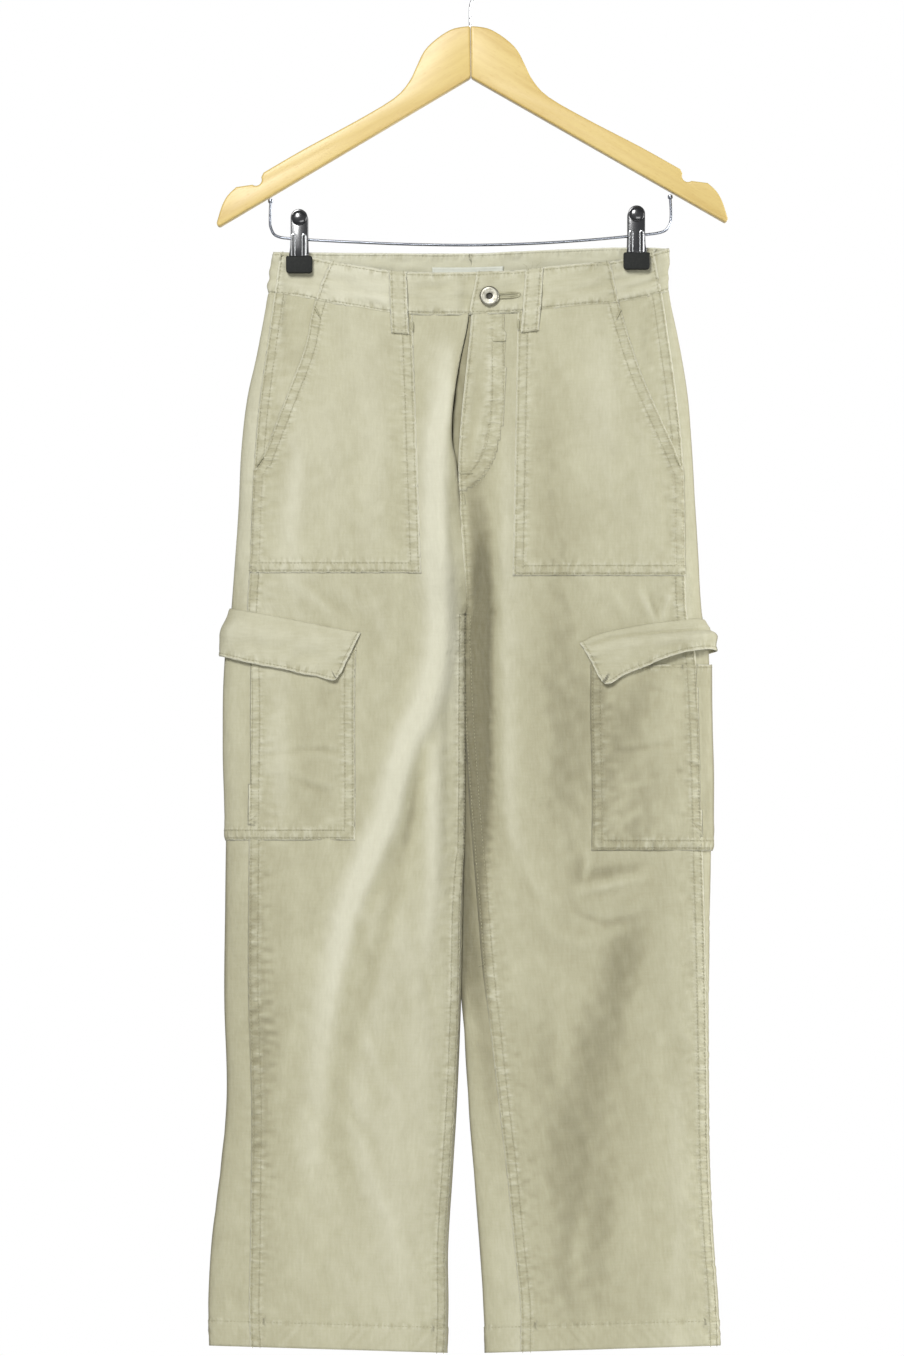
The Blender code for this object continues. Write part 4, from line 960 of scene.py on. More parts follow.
def makeCargo(leg):
    size = cargoSizes[leg]
    top, bottom, front, back = (size[name] for name in ("top", "bottom", "front", "back"))
    down, reach = np.meshgrid(np.linspace(top, bottom, 80), np.linspace(-front, back, 98), indexing="ij")
    grid = roundSide(leg, down, reach)
    # painted highlights and painted shade on the pocket's front part, and its own painted tone
    paintedShading = creaseHeight(paintedShadingMarks, leg, "front", grid[..., 0], down) * ease(6.0, -10.0, reach) + size["paintedShading"]
    frontFar, backFar, bottomFar, topFar = reach + front, back - reach, bottom - down, down - top
    sideFar = np.minimum(frontFar, backFar)
    seamSide = seamReach(leg, down[:, 0])[:, None] - reach
    bandFar = np.where(seamSide >= 0.0, seamSide, seamFar)
    # one run of stitches gives way to the other where they meet
    bandSeen = bandFar + 16.0 * ease(26.0, 8.0, bottomFar)
    topSeen = topFar + 16.0 * ease(26.0, 8.0, np.minimum(frontFar, np.abs(bandFar)))
    fields = sewnFields(reach.shape, ((frontFar, down), (backFar, 2.0 * bottom - front - back - down),
                                      (bottomFar, bottom - frontFar), (bandSeen, down)), ((topSeen, reach),))
    seed = seeds["cargo"] + 5 * (leg == "left")
    rise = pocketEdges(np.minimum(sideFar, bottomFar),
                       ((frontFar, down), (backFar, down), (bottomFar, reach)), seed)
    # the side seam's own puckers, as on the leg beneath
    panelSeed = seeds["panel"] + 7 * (leg == "left")
    rise += np.where(seamSide >= 0.0, sewnBand(bandFar, down, panelSeed, pucker=0.5),
                     -0.15 * np.exp(seamSide / 4.0))
    full = np.clip(np.minimum(np.minimum(sideFar, np.abs(seamSide)) / 40.0, bottomFar / 60.0), 0.0, 1.0)
    rise += 1.5 * np.sin(0.5 * pi * full)
    rise += waves(reach, down, 46.0, seed + 5, stretch=1.5) * ease(4.0, 24.0, sideFar)
    for height, width, start, end in size["creases"]:
        rise += height * lineBell(reach, down, start, end, width) * ease(7.0, 20.0, sideFar)
    grid = pushed(grid, rise)
    clothPiece("cargo_" + leg, grid, walls["panel"], fields, (reach, down),
               paintedShading)
    for at in seamRows:
        share = at / (front + back)
        for far in (frontFar, backFar):
            sew(grid, far, at, 0.0, 1.0 - at / (bottom - top))
        sew(grid, seamSide, at)
        sew(grid, bottomFar, at, share, 1.0 - share, across=True)
    sew(grid, topFar, edgeRow, across=True)


def makeFlap(leg):
    size = flapSizes[leg]
    rows = size["rows"]
    t, reach = np.meshgrid(np.linspace(0.0, 1.0, 34), np.linspace(rows[0][0], rows[-1][0], 128),
                           indexing="ij")
    frontFar, backFar = reach - rows[0][0], rows[-1][0] - reach
    # the front edge slants back towards the flap's rounded lower corner
    slanted = reach + size["slant"] * t * ease(75.0, 0.0, frontFar)
    top, bottom, lift = (readCurve(rows, slanted, column) for column in (1, 2, 3))
    length = bottom - top
    corner = 4.0 * np.exp(-frontFar / 3.0) * ease(0.75, 1.0, t)
    down = top + length * t + size["drop"] * t * hump(frontFar, 16.0) - corner
    topFar, bottomFar = length * t, length * (1.0 - t)
    seed = seeds["flap"] + 5 * (leg == "left")
    rise = 2.3 + 0.86 * lift * ease(0.0, 0.62, t) - 0.9 * hump(topFar, 1.2)
    rise += puckers(0.30, bottomFar, 6.0, reach, seed + 1) + puckers(0.20, frontFar, 6.0, down, seed + 2)
    rise += 0.7 * hump(bottomFar - 1.2, 1.4) + 0.45 * hump(frontFar - 1.2, 1.4)
    if leg == "right":
        # a soft roll low down, and a shallow dent under it
        rise += 1.6 * hump(topFar - 17.0 - 0.04 * reach, 7.0) * ease(-122.0, -90.0, slanted)
        rise += 1.2 * ease(24.0, 0.0, frontFar) * ease(26.0, 2.0, bottomFar) - hump(topFar - 29.0, 6.0)
    else:
        # a crease under the top edge, below which the flap rolls out
        fold = 6.0 + 4.0 * ease(-112.0, 0.0, slanted)
        rise += 2.2 * hump(topFar - fold - 6.0, 5.0) - 1.5 * hump(topFar - fold, 1.5)
        rise += 0.8 * hump(bottomFar, 6.0) + 1.6 * ease(26.0, 0.0, frontFar) * ease(22.0, 2.0, bottomFar)
    rise += 0.9 * waves(reach, down, 34.0, seed + 4, stretch=0.7) * ease(0.0, 0.6, t)
    grid = pushed(roundSide(leg, down, slanted), rise)
    fields = sewnFields(reach.shape, (), ((bottomFar, reach), (frontFar * 0.93, down), (backFar, down)))
    clothPiece("flap_" + leg, grid, walls["flap"], fields, (down, reach),
               size["paintedShading"])
    sew(grid, bottomFar, 2.9, 0.025, across=True)
    sew(grid, frontFar, 3.0, 0.0, 0.93)
    sew(grid, backFar, 2.9, 0.0, 0.93)


for legName in legs:
    makeCargo(legName)
    makeFlap(legName)
print("pockets made")

bandDowns = np.linspace(0.0, band, 25)


def bandPiece(name, grid, rise, along, seed, ends=(), paintedShading=0.3, wall=walls["band"],
              inside=None):
    # a length of the waistband, with one row of stitches inside each edge, lighter by its painted highlight
    down = spread(bandDowns, grid.shape[1])
    low = band - down
    edge = np.minimum(down, low)
    rise = rise + puckers(0.30, edge, 6.0, along, seed)
    rise += 0.75 * waves(along, down, 34.0, seed + 1, stretch=0.35)
    rise -= 0.75 * hump(down - 23.0 - 1.8 * np.sin(along / 31.0), 3.2)
    rise -= 0.5 * hump(edge, 1.5) + hump(low, 3.2)
    for far in ends:
        rise += puckers(0.3, far - 2.0, 5.0, down, seed + 2)
    beside = 14.0 * ease(16.0, 3.0, np.minimum.reduce(ends)) if ends else 0.0
    fields = sewnFields(down.shape, (), ((down + beside, along), (low + beside, along),
                                         *((far, down) for far in ends)))
    grid = pushed(grid, rise)
    clothPiece(name, grid, wall, fields, (down, along), paintedShading, inside=inside)
    for far in (down, low):
        sew(grid, far, edgeRow, across=True)
    for far in ends:
        sew(grid, far, edgeRow)


def makeFrontBand(leg, sign):
    left = leg == "left"
    mouth = readCurve(patchSizes[leg]["mouth"], bandDowns)
    # the left end laps over the right one at the fly
    inner = 4.8 - 5.6 * ease(0.0, band, bandDowns) if left else np.full(len(bandDowns), cut["underlap"])
    x, down = lanes(inner, mouth - 0.2 * sign, bandDowns, 96)
    # the band is painted lighter as a highlight, the right one most of all beyond x -40
    rise, paintedShading, ends = 1.9 - 2.6 * ease(-14.0, -3.6, x), 0.35 + ease(-40.0, -70.0, x), [np.abs(x - x[:, -1:])]
    if left:
        rise, paintedShading, ends = 1.9, 0.3, [*ends, np.abs(x - x[:, :1])]
    bandPiece("band_front_" + leg, frontPoint(x, down), rise, x,
              seeds["band"] + left, ends, paintedShading)
    # the lower ply, between the pocket mouth and the side seam
    side, first, last = legGrid(leg, bandDowns, turnOf(leg, mouth + 0.2 * sign, bandDowns),
                                seamTurn(leg, bandDowns), 26, (1.6, 0.0))
    # the side ply is painted lighter as a highlight
    bandPiece("band_side_" + leg, side, 0.7 - 0.5 * ease(0.8, -0.5, first), first,
              seeds["bandSide"] + left, [last], 0.6 if left else 1.0,
              walls["bandSide"])


def makeBackBand():
    (right, reach, _), (left, other, _) = (
        legGrid(leg, bandDowns, seamTurn(leg, bandDowns), np.full(len(bandDowns), 2.0), 112, (1.6, 0.0))
        for leg in legs)
    grid = np.concatenate([right[:, :-1], left[:, ::-1]], axis=1)
    total = reach[:, -1:] + other[:, -1:]
    along = np.concatenate([reach[:, :-1], total - other[:, ::-1]], axis=1)
    tucked = 0.6 * ease(0.8, -0.5, along) + 0.6 * ease(0.8, -0.5, total - along)
    # a painted highlight on the back band's right end
    bandPiece("band_back", grid, 0.8 - 0.4 * hump(grid[..., 0] - 26.7, 1.2) - tucked, along,
              seeds["bandBack"],
              paintedShading=0.5 * ease(-50.0, -110.0, grid[..., 0]), inside=paintedLitInside)


def makeShield():
    downs, far = np.linspace(band + cut["gap"], 192.0, 78), cut["underlap"]
    edge = legSize("right", "frontInner", downs) + 0.6
    x, down = lanes(edge, far, downs, 24)
    grid = pushed(legPoint("left", "front", x, down), np.full(x.shape, -2.2))
    # the shield is painted dark, as the shade under the fly
    clothPiece("fly_shield", grid, walls["shield"], sewnFields(x.shape), (x, down),
               -1.2)


# Each loop's side, and its x at the top and at the bottom
loopSizes = {
    "loop_front_right": ("front", -62.9, -60.8), "loop_front_left": ("front", 54.9, 51.0),
    "loop_back_right": ("back", -82.0, -82.0), "loop_back_centre": ("back", 0.0, 0.0),
    "loop_back_left": ("back", 82.0, 82.0),
}


def makeLoop(name, side, topX, bottomX, width=15.5, length=55.0):
    t, u = np.linspace(0.0, 1.0, 34)[:, None], np.linspace(-0.5, 0.5, 11)
    down = spread(0.4 + (length - 0.4) * t[:, 0], len(u))
    x = topX + (bottomX - topX) * t + width * u
    front = side == "front"
    flank, ends = width * (0.5 - np.abs(u)), np.minimum(down, length - down)
    rise = (3.5 if front else 2.4) + 1.1 * np.sin(pi * t) - 0.7 * ease(0.7, 1.0, t) + 0.5 * hump(ends, 3.0)
    rise += puckers(0.26, flank - 2.0, 3.0, down, seeds["loop"] + len(name)) - 0.5 * hump(flank, 0.9)
    rise -= 0.35 * hump(flank - 7.7, 1.6)
    grid = pushed(frontPoint(x, down) if front else bothLegs(side, x, down), rise)
    # the loops are painted lighter as a highlight
    clothPiece(name, grid, walls["loop"], sewnFields(down.shape, (), ((flank, down),)), (x, down),
               0.4)
    rows, columns = len(t) - 1.0, len(u) - 1.0
    for column in (1.7, columns - 1.7):
        stitchLines.append(lineOnGrid(grid, np.arange(len(t)), np.full(len(t), column)))
    stitchLines.append(lineOnGrid(grid, np.full(7, rows - 1.8), np.linspace(1.5, columns - 1.5, 7)))


def makeLabel():
    downs, xs = np.linspace(12.5, 30.0, 14), np.linspace(-33.7, 28.9, 44)
    down, x = np.meshgrid(downs, xs, indexing="ij")
    rim = np.minimum.reduce((down - downs[0], downs[-1] - down, x - xs[0], xs[-1] - x))
    rise = -1.65 - 0.35 * hump(rim, 0.9) + 0.1 * waves(x, down, 12.0, seeds["label"])
    grid = pushed(bothLegs("back", x, down), rise)
    clothPiece("label", grid, walls["label"], sewnFields(x.shape), (x, down),
               look=satin)


for legName, sideSign in legs.items():
    makeFrontBand(legName, sideSign)
makeBackBand()
makeShield()
for loopName, loopPlace in loopSizes.items():
    makeLoop(loopName, *loopPlace)
makeLabel()
print("waist made")

# Hanger, its hook, bar and clips. Heights are measured from the top of the wood.
hanger = {"woodTop": -69.1, "apex": -45.0, "thick": 12.0, "tilt": radians(0.5), "hook": 38.0, "wire": 3.5}
arms = {
    "top": ((0.15, 0.0), (9.0, -0.9), (17.9, -3.3), (30.2, -11.1), (40.7, -21.5), (47.7, -35.4),
            (54.5, -48.7), (67.8, -62.7), (101.0, -82.2), (146.6, -106.3), (182.0, -126.5)),
    "notch": (188.8, -132.7, 5.2, 155.0, 305.0, 11),
    "end": ((206.0, -138.9), (213.5, -146.1), (218.8, -155.6), (223.6, -171.0)),
    "tip": (221.5, -173.7),
}
barRows = (
    (-174.9, -150.4), (-175.4, -167.1), (-174.6, -176.1), (-168.9, -183.3), (-150.0, -185.7),
    (-100.0, -188.4), (-50.0, -190.3), (0.0, -190.9), (50.0, -189.7), (100.0, -186.7), (145.0, -182.5),
    (166.6, -179.7), (173.6, -174.1), (175.4, -165.1), (174.6, -146.8),
)
# Clips: x and top; jaws and pads have thickness, rounding and distance from the middle plane
clipPlaces = {"right": (-149.6, -160.5), "left": (144.9, -157.3)}
clip = {
    "length": 41.6, "crown": 7.4, "flank": ((7.4, 20.0), (7.8, 8.0), (9.0, 0.0)), "jaw": (2.5, 0.7, 8.55),
    "pad": (6.6, 0.9, 7.5), "padSize": (22.8, 14.8, 2.8), "springs": {"outer_": -5.0, "inner_": 4.2},
    "springBend": 1.35, "springWire": 0.8, "springFront": -11.1, "springHeights": (0.5, 14.0, 18.0),
    "dome": (6.6, 2.0), "domeFront": -10.2, "domeDrop": 7.9,
}


def arc(x, z, radius, first, last, count):
    # points on part of a circle, from one angle in degrees to another
    angles = np.radians(np.linspace(first, last, count))
    return [(x + radius * cos(angle), z + radius * sin(angle)) for angle in angles]


def upright(points, y=0.0):
    return np.array([(x, y, z) for x, z in points])


def finishSolid(obj, look, nodes=(), angle=45.0, merge=False):
    bm = bmesh.new()
    bm.from_mesh(obj.data)
    if merge:
        bmesh.ops.remove_doubles(bm, verts=bm.verts, dist=0.000001)
    bmesh.ops.recalc_face_normals(bm, faces=bm.faces)
    bm.to_mesh(obj.data)
    bm.free()
    obj.data.shade_smooth()
    obj.data.set_sharp_from_angle(angle=radians(angle))
    obj.data.materials.clear()
    obj.data.materials.append(look[0])
    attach(obj, "root")
    if nodes:
        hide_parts(*nodes)
    return obj


def ringFaces(rings, sides, capped=True):
    faces = [(r + c, r + (c + 1) % sides, r + sides + (c + 1) % sides, r + sides + c)
             for r in range(0, (rings - 1) * sides, sides) for c in range(sides)]
    if capped:
        faces += [tuple(range(sides))[::-1], tuple(range((rings - 1) * sides, rings * sides))]
    return faces


def tubeMesh(points, radius, sides):
    # rings and caps of a wire; radius is one number or one for each point
    tangent = np.gradient(points, axis=0)
    tangent /= np.linalg.norm(tangent, axis=1, keepdims=True)
    across = np.cross(tangent[0], (0.0, 1.0, 0.0))
    if np.linalg.norm(across) < 0.1:
        across = np.cross(tangent[0], (1.0, 0.0, 0.0))
    angles = np.arange(sides)[:, None] * 2 * pi / sides
    rings = []
    for point, along, r in zip(points, tangent, np.broadcast_to(radius, len(points))):
        across = across - along * across.dot(along)
        across /= np.linalg.norm(across)
        rings.append(point + r * (np.cos(angles) * across + np.sin(angles) * np.cross(along, across)))
    return np.concatenate(rings), ringFaces(len(points), sides)


def tube(name, runs, look, nodes=(), sides=14):
    # wires or threads, each with its line and radius
    vertices, faces = [], []
    for line, size in runs:
        points, some = tubeMesh(np.asarray(line, float), size, sides)
        faces += [tuple(i + len(vertices) for i in face) for face in some]
        vertices += list(points)
    return finishSolid(makeMesh(name, np.array(vertices) * mm, faces), look, nodes)


def slab(name, outline, thick, rounding, y, look, node, segments=3, angle=45.0):
    # a flat piece cut to an outline of x and z, with rounded edges
    points = np.concatenate([upright(outline, y - 0.5 * thick), upright(outline, y + 0.5 * thick)])
    obj = makeMesh(name, points * mm, ringFaces(2, len(outline)))
    edges = obj.modifiers.new("edges", "BEVEL")
    edges.width, edges.segments = rounding * mm, segments
    edges.limit_method, edges.angle_limit = "ANGLE", radians(50)
    applyModifiers(obj)
    return finishSolid(obj, look, [node], angle)


def turned(name, profile, base, sides, look, node, angle):
    # a profile of radius and height turned round an axis towards the front
    x, y, z = base
    angles = np.arange(sides) * 2 * pi / sides
    rings = [np.stack([x + r * np.cos(angles), np.full(sides, y - h), z + r * np.sin(angles)], axis=1)
             for r, h in profile]
    obj = makeMesh(name, np.concatenate(rings) * mm, ringFaces(len(profile), sides, capped=False))
    return finishSolid(obj, look, [node], angle, merge=True)


def makeArm(side, sign):
    points = [*smoothLine(arms["top"], 3), *arc(*arms["notch"]), *smoothLine(arms["end"], 3),
              arms["tip"], (0.15, hanger["apex"])]
    tilt, woodTop = hanger["tilt"], hanger["woodTop"]
    outline = [(sign * x * cos(tilt) - z * sin(tilt), sign * x * sin(tilt) + z * cos(tilt) + woodTop)
               for x, z in points]
    slab("arm_" + side, outline, hanger["thick"], 2.3, 0.0, beech, "hanger_" + side, 4, 60.0)


def makeHook():
    radius, lean = 0.5 * (hanger["hook"] + hanger["wire"]), 60.0
    points = arc(0.0, -0.5 * hanger["hook"], radius, 200.0, -lean, 61)
    x, z = points[-1]
    # the bend back to the middle of the wood
    turn = x / (1.0 - cos(radians(lean)))
    points += arc(turn, z - turn * sin(radians(lean)), turn, 180.0 - lean * 17 / 18, 180.0, 18)
    points.append((0.0, hanger["woodTop"] + 0.3))
    sizes = np.full(len(points), 0.5 * hanger["wire"])
    sizes[:3] *= (0.45, 0.85, 0.97)
    tube("hook_wire", [(upright(points), sizes)], chrome, ["hook"], 18)


def makeBar():
    points = upright(smoothLine(barRows, 6) + (0.0, hanger["woodTop"]))
    runs = [(points, 1.2)]
    for start, second in ((points[0], points[1]), (points[-1], points[-2])):
        # the collar at each end
        down = (second - start) / np.linalg.norm(second - start)
        runs.append(([start + down * at for at in (0.2, 0.6, 2.2, 3.4, 3.8)], (1.3, 2.1, 2.3, 2.0, 1.3)))
    tube("bar_wire", runs, barSteel, ["trouser_bar"])


def roundedBox(middle, top, width, height, corner):
    half, low = 0.5 * width, top - height + corner
    return [(middle - half + 1.0, top), (middle + half - 1.0, top), (middle + half, top - 1.0),
            *arc(middle + half - corner, low, corner, 0.0, -90.0, 6),
            *arc(middle - half + corner, low, corner, -90.0, -180.0, 6), (middle - half, top - 1.0)]


def makeClip(side, middle, below):
    top, crown = below + hanger["woodTop"], clip["crown"]
    low = top - clip["length"]
    outline = arc(middle, top - crown, crown, 0.0, 180.0, 16)
    outline += [(middle - half, low + up) for half, up in clip["flank"]]
    outline += [(middle + half, low + up) for half, up in clip["flank"][::-1]]
    padOutline = roundedBox(middle, low + 0.5, *clip["padSize"])
    for name, out in (("front_", -1.0), ("back_", 1.0)):
        slab("clip_" + name + side, outline, *clip["jaw"][:2], out * clip["jaw"][2], blackPlastic,
             "jaw_" + name + side)
        slab("rubber_" + name + side, padOutline, *clip["pad"][:2], out * clip["pad"][2], rubber,
             "pad_" + name + side)
    for name, offset in clip["springs"].items():
        x, half = middle + offset, clip["springBend"]
        levels = [low + height for height in clip["springHeights"]]
        line = [(x - half, z) for z in levels] + arc(x, levels[-1], half, 157.5, 22.5, 7)
        line += [(x + half, z) for z in levels[::-1]]
        tube("spring_wire_" + name + side, [(upright(line, clip["springFront"]), clip["springWire"])], chrome,
             ["spring_" + name + side], 12)
    radius, height = clip["dome"]
    dome = [(radius * cos(a), height * sin(a)) for a in np.radians((82, 70, 55, 40, 25, 12, 0))]
    turned("dome_" + side, [(0.0, height), *dome, (0.0, -0.2)],
           (middle, clip["domeFront"], top - clip["domeDrop"]), 28, blackPlastic, "stud_" + side, 60.0)
    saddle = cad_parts["saddle_" + side].data.materials
    saddle.clear()
    saddle.append(blackPlastic[0])


def frontSpot(x, down):
    return frontPoint(np.array([[x]]), np.array([[down]]))[0, 0]


# The button's place, how far it stands off the leg's surface, and its profile of radius and height
button = {
    "x": 16.2, "down": 21.9, "off": 2.9, "hollow": 2.3,
    "profile": ((0.0, 0.5), (1.0, 0.5), (2.0, 0.6), (2.2, 1.5), (2.6, 2.7), (3.3, 3.15), (5.2, 2.7),
                (6.3, 3.0), (7.4, 2.9), (8.1, 2.4), (8.55, 1.6), (8.6, 1.0), (8.2, 0.3), (7.9, 0.0),
                (0.0, 0.0)),
}


def makeButton():
    x, y, z = frontSpot(button["x"], button["down"])
    base = (x, y - button["off"], z)
    mesh = turned("waist_button", button["profile"], base, 40, oldSilver, "button", 50.0).data
    # the hollow middle is painted near black, as the shade in its hole
    mesh.materials.append(holeShade)
    for polygon in mesh.polygons:
        corners = [mesh.vertices[i].co for i in polygon.vertices]
        if max(hypot(corner.x - x * mm, corner.z - z * mm) for corner in corners) < button["hollow"] * mm:
            polygon.material_index = 1


for legName, sideSign in legs.items():
    makeArm(legName, sideSign)
makeHook()
makeBar()
for legName, clipPlace in clipPlaces.items():
    makeClip(legName, *clipPlace)
makeButton()
print("hanger and button made")


def sewPath(grid, downs, path):
    # a row of stitches along points of down and x
    line = smoothLine(path, 14)
    rows = np.interp(line[:, 0], downs, np.arange(len(downs)))
    columns = [placeIn(grid[int(round(row)), :, 0], x) for row, x in zip(rows, line[:, 1])]
    stitchLines.append(lineOnGrid(grid, rows, columns))


crotchShare = (crotch - band + 6.0) / (hem - band)
for (sideName, legName), panel in panels.items():
    for at in seamRows:
        if sideName == "front":
            sew(panel["grid"], panel["inner"], at, crotchShare)
            sew(panel["grid"], panel["outer"], at)
        elif legName == "left":
            sew(panel["grid"], panel["inner"], at, 0.0, crotchShare - 0.02)
    if (sideName, legName) == ("front", "left"):
        sew(panel["grid"], panel["inner"], edgeRow, 0.0, crotchShare - 0.01)
        for flyPath in fly["stitches"]:
            sewPath(panel["grid"], panel["down"][:, 0], flyPath)
    sew(panel["grid"], hem - panel["down"], hemRow, across=True)

# The nodes that set a bead of thread along each line: sockets, nodes, and links
stitchSockets = (
    ("Geometry", "Geometry", "INPUT"), ("Pitch", "Float", "INPUT"), ("Length", "Float", "INPUT"),
    ("Thick", "Float", "INPUT"), ("Thread", "Material", "INPUT"), ("Geometry", "Geometry", "OUTPUT"),
)
stitchNodes = {
    "given": "NodeGroupInput", "curves": "GeometryNodeMeshToCurve", "points": "GeometryNodeCurveToPoints",
    "bead": "GeometryNodeMeshIcoSphere", "size": "ShaderNodeCombineXYZ",
    "place": "GeometryNodeInstanceOnPoints",
    "real": "GeometryNodeRealizeInstances", "smooth": "GeometryNodeSetShadeSmooth",
    "coat": "GeometryNodeSetMaterial", "result": "NodeGroupOutput",
}
stitchLinks = (
    ("given", "Geometry", "curves", "Mesh"), ("curves", "Curve", "points", "Curve"),
    ("given", "Pitch", "points", "Length"), ("given", "Thick", "size", "X"), ("given", "Thick", "size", "Y"),
    ("given", "Length", "size", "Z"), ("points", "Points", "place", "Points"),
    ("points", "Rotation", "place", "Rotation"), ("bead", "Mesh", "place", "Instance"),
    ("size", "Vector", "place", "Scale"), ("place", "Instances", "real", "Geometry"),
    ("real", "Geometry", "smooth", "Geometry"), ("smooth", "Geometry", "coat", "Geometry"),
    ("given", "Thread", "coat", "Material"), ("coat", "Geometry", "result", "Geometry"),
)


def makeStitches():
    vertices, edges = [], []
    for line in stitchLines:
        edges += [(len(vertices) + i, len(vertices) + i + 1) for i in range(len(line) - 1)]
        vertices += list(line * mm)
    obj = makeMesh("stitching", vertices, [], edges)
    tree = bpy.data.node_groups.new("stitchRows", "GeometryNodeTree")
    for label, kind, way in stitchSockets:
        tree.interface.new_socket(label, in_out=way, socket_type="NodeSocket" + kind)
    nodes = {name: tree.nodes.new(kind) for name, kind in stitchNodes.items()}
    nodes["points"].mode = "LENGTH"
    nodes["bead"].inputs["Subdivisions"].default_value = 1
    nodes["bead"].inputs["Radius"].default_value = 0.5
    for source, output, target, slot in stitchLinks:
        tree.links.new(nodes[source].outputs[output], nodes[target].inputs[slot])
    rows = obj.modifiers.new("rows", "NODES")
    rows.node_group = tree
    values = {"Pitch": stitching["pitch"] * mm, "Length": stitching["length"] * mm,
              "Thick": stitching["thick"] * mm, "Thread": thread[0]}
    for item in tree.interface.items_tree:
        if item.in_out == "INPUT" and item.name in values:
            rows[item.identifier] = values[item.name]
    applyModifiers(obj)
    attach(obj, "root")
    print("stitches:", len(obj.data.polygons) // 20)


makeStitches()


def onFront(x, down, lift):
    # a point of thread on the front of the cloth
    for leg in legs:
        grid, downs = panels["front", leg]["grid"], panels["front", leg]["down"][:, 0]
        row = int(np.clip(np.searchsorted(downs, down), 1, len(downs) - 1))
        xs = grid[row][:, 0]
        if min(xs) <= x <= max(xs):
            order = np.argsort(xs)
            return lineOnGrid(grid, [row], [np.interp(x, xs[order], order)], lift)[0]
    return frontSpot(x, down) - (0.0, lift, 0.0)


def makeBartacks():
    # short dense bars: x and down of both ends, and how far out the layer they are sewn through lies
    bars = ((-10.0, 187.0, 2.0, 188.0, 0.5), (-6.5, 207.0, -5.0, 216.0, 0.5), (19.0, 60.0, 30.0, 60.0, 0.8),
            (-136.0, 42.0, -131.0, 50.0, 2.9), (-185.0, 186.0, -180.0, 178.0, 2.9),
            (131.0, 42.0, 127.0, 50.0, 2.9), (181.0, 186.0, 177.0, 178.0, 2.9),
            (-50.0, 42.0, -50.0, 50.0, 2.9), (41.0, 42.0, 41.0, 50.0, 2.9))
    sizes = (0.35, 0.75, 0.8, 0.75, 0.8, 0.75, 0.8, 0.4)
    runs = []
    for x0, d0, x1, d1, lift in bars:
        shares = np.linspace(0.0, 1.0, len(sizes))
        runs.append(([onFront(x0 + (x1 - x0) * t, d0 + (d1 - d0) * t, lift) for t in shares], sizes))
    tube("bartacks", runs, thread, sides=8)


def makeButtonhole():
    middleX, middleDown, halfLength, halfHeight = 30.5, 21.5, 12.5, 2.3
    runs = []
    for ring, size in ((1.0, 0.75), (0.45, 0.5)):
        points = []
        for angle in np.linspace(0.0, 2.0 * pi, 33):
            x = middleX + halfLength * ring ** 0.3 * np.sign(cos(angle)) * abs(cos(angle)) ** 0.6
            points.append(frontSpot(x, middleDown + halfHeight * ring * sin(angle)) - (0.0, 2.15, 0.0))
        runs.append((points, size))
    tube("buttonhole", runs, thread, sides=8)


def makeLooseThreads():
    # x and down of both ends, bow and distance from the leg; three stand up over the waist's edge
    runs = []
    for x0, d0, x1, d1, bow, lift in ((48.5, 1.5, 45.0, -5.0, 2.0, 4.5), (57.0, 1.0, 61.0, -4.0, -1.5, 4.5),
                                      (52.0, 0.5, 53.5, -5.5, 1.2, 4.5), (11.5, 617.0, 9.0, 625.0, 2.0, 1.4)):
        line = []
        for t in np.linspace(0.0, 1.0, 9):
            x, down = x0 + (x1 - x0) * t + bow * sin(pi * t), d0 + (d1 - d0) * t
            line.append(onFront(x, down, lift) if down > band
                        else frontSpot(x, max(0.0, down)) - (0.0, lift, min(0.0, down)))
        runs.append((line, 0.17))
    tube("loose_threads", runs, thread, sides=6)


makeBartacks()
makeButtonhole()
makeLooseThreads()

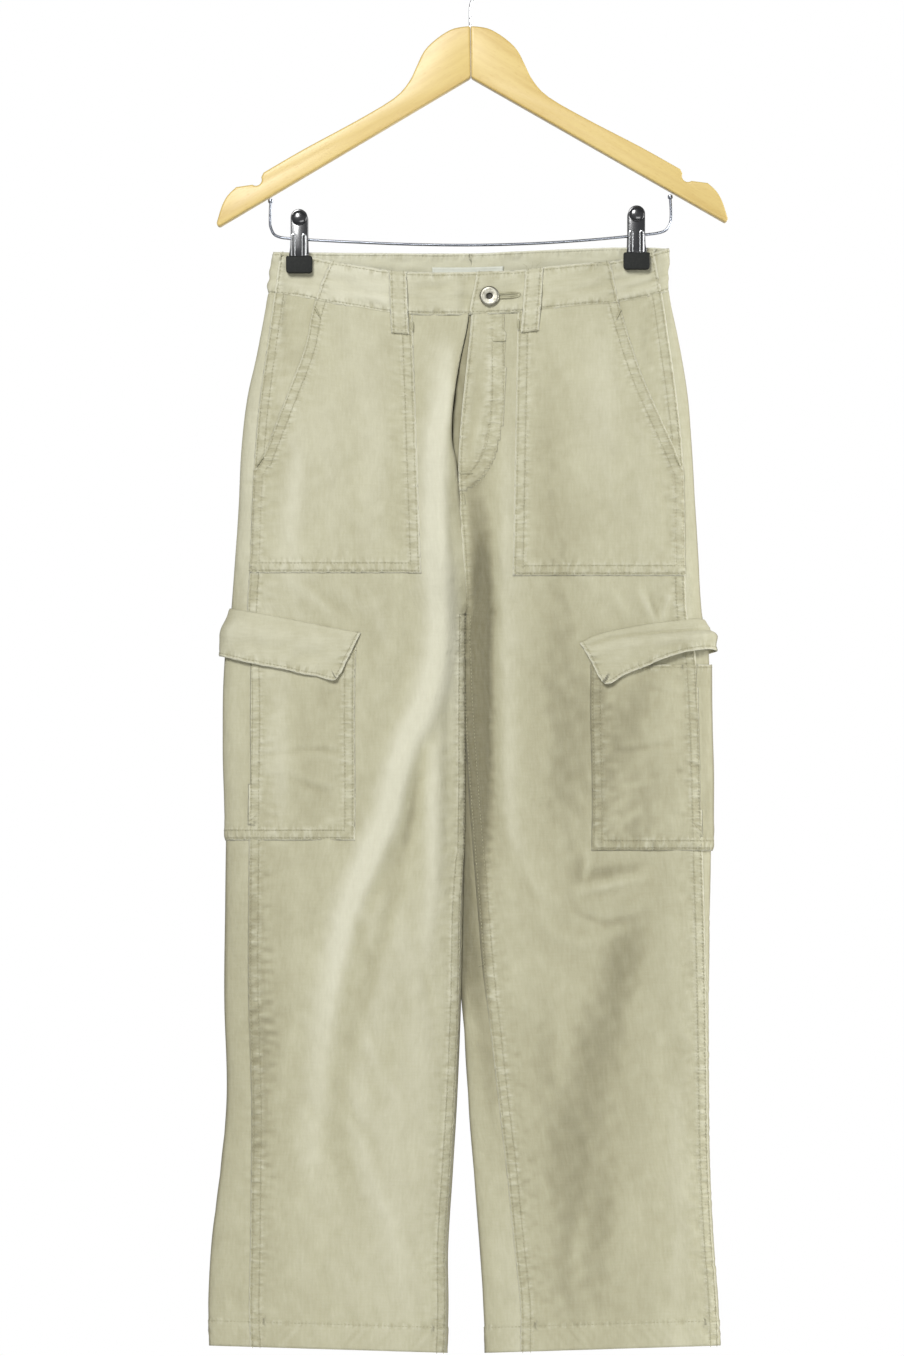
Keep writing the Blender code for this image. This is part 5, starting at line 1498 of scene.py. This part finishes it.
# Studio
scene = bpy.context.scene
scene.view_settings.view_transform = "Standard"
scene.view_settings.look = "None"
studioFloor = {"level": -1.46, "radius": 1.05}
rim = arc(0.0, 0.0, studioFloor["radius"], 0.0, 352.5, 48)
floor = makeMesh("studioFloor", [(x, y, studioFloor["level"]) for x, y in rim], [tuple(range(len(rim)))])
pale = makePlain("paleFloor", (0.82, 0.82, 0.81), (0.78, 0.78, 0.77), 0.5, 300.0, Roughness=0.9)
floor.data.materials.append(pale)


def makeWorld():
    # white at the horizon behind, greyer above, below and in front, so that folds keep their shade
    world = scene.world = bpy.data.worlds.new("studioWhite")
    world.use_nodes = True
    tree = world.node_tree
    _, y, z = parts(tree, tree.nodes.new("ShaderNodeTexCoord").outputs["Generated"])
    background = tree.nodes["Background"]
    fill(tree, background.inputs["Color"], (1.0, 1.0, 1.0))
    fill(tree, background.inputs["Strength"],
         (1.0 - z.math("ABSOLUTE").between(0.24, 0.42) * 0.62) * (0.38 + y.between(-0.3, 0.5) * 0.62))


makeWorld()

# Place, target, width, height and power
lights = {
    "keyLight": ((-0.75, -3.0, 1.0), (0.0, 0.0, -0.5), 0.9, 1.0, 116.0),
    "lowFill": ((0.8, -2.9, -1.0), (0.0, 0.0, -0.7), 1.4, 0.5, 18.0),
    "rightRim": ((2.3, 0.3, -0.5), (0.0, 0.0, -0.6), 1.2, 1.8, 62.0),
}
for lightName, (place, target, width, height, power) in lights.items():
    light = bpy.data.lights.new(lightName, "AREA")
    light.shape = "RECTANGLE"
    light.size, light.size_y, light.energy = width, height, power
    lamp = bpy.data.objects.new(lightName, light)
    scene.collection.objects.link(lamp)
    lamp.location = place
    lamp.rotation_euler = (Vector(target) - Vector(place)).to_track_quat("-Z", "Y").to_euler()

# The photo's view: its height at the garment, and the eye's x, in metres
photoView = {"height": 1.1865, "x": -0.0162, "distance": cut["photoDistance"] * mm}
camera = bpy.data.cameras.new("photoCamera")
camera.sensor_width = 36.0
camera.lens = camera.sensor_width * photoView["distance"] / photoView["height"]
cameraObject = bpy.data.objects.new("photoCamera", camera)
scene.collection.objects.link(cameraObject)
cameraObject.location = (photoView["x"], -photoView["distance"], cut["photoLevel"] * mm)
cameraObject.rotation_euler = (0.5 * pi, 0.0, 0.0)
scene.camera = cameraObject
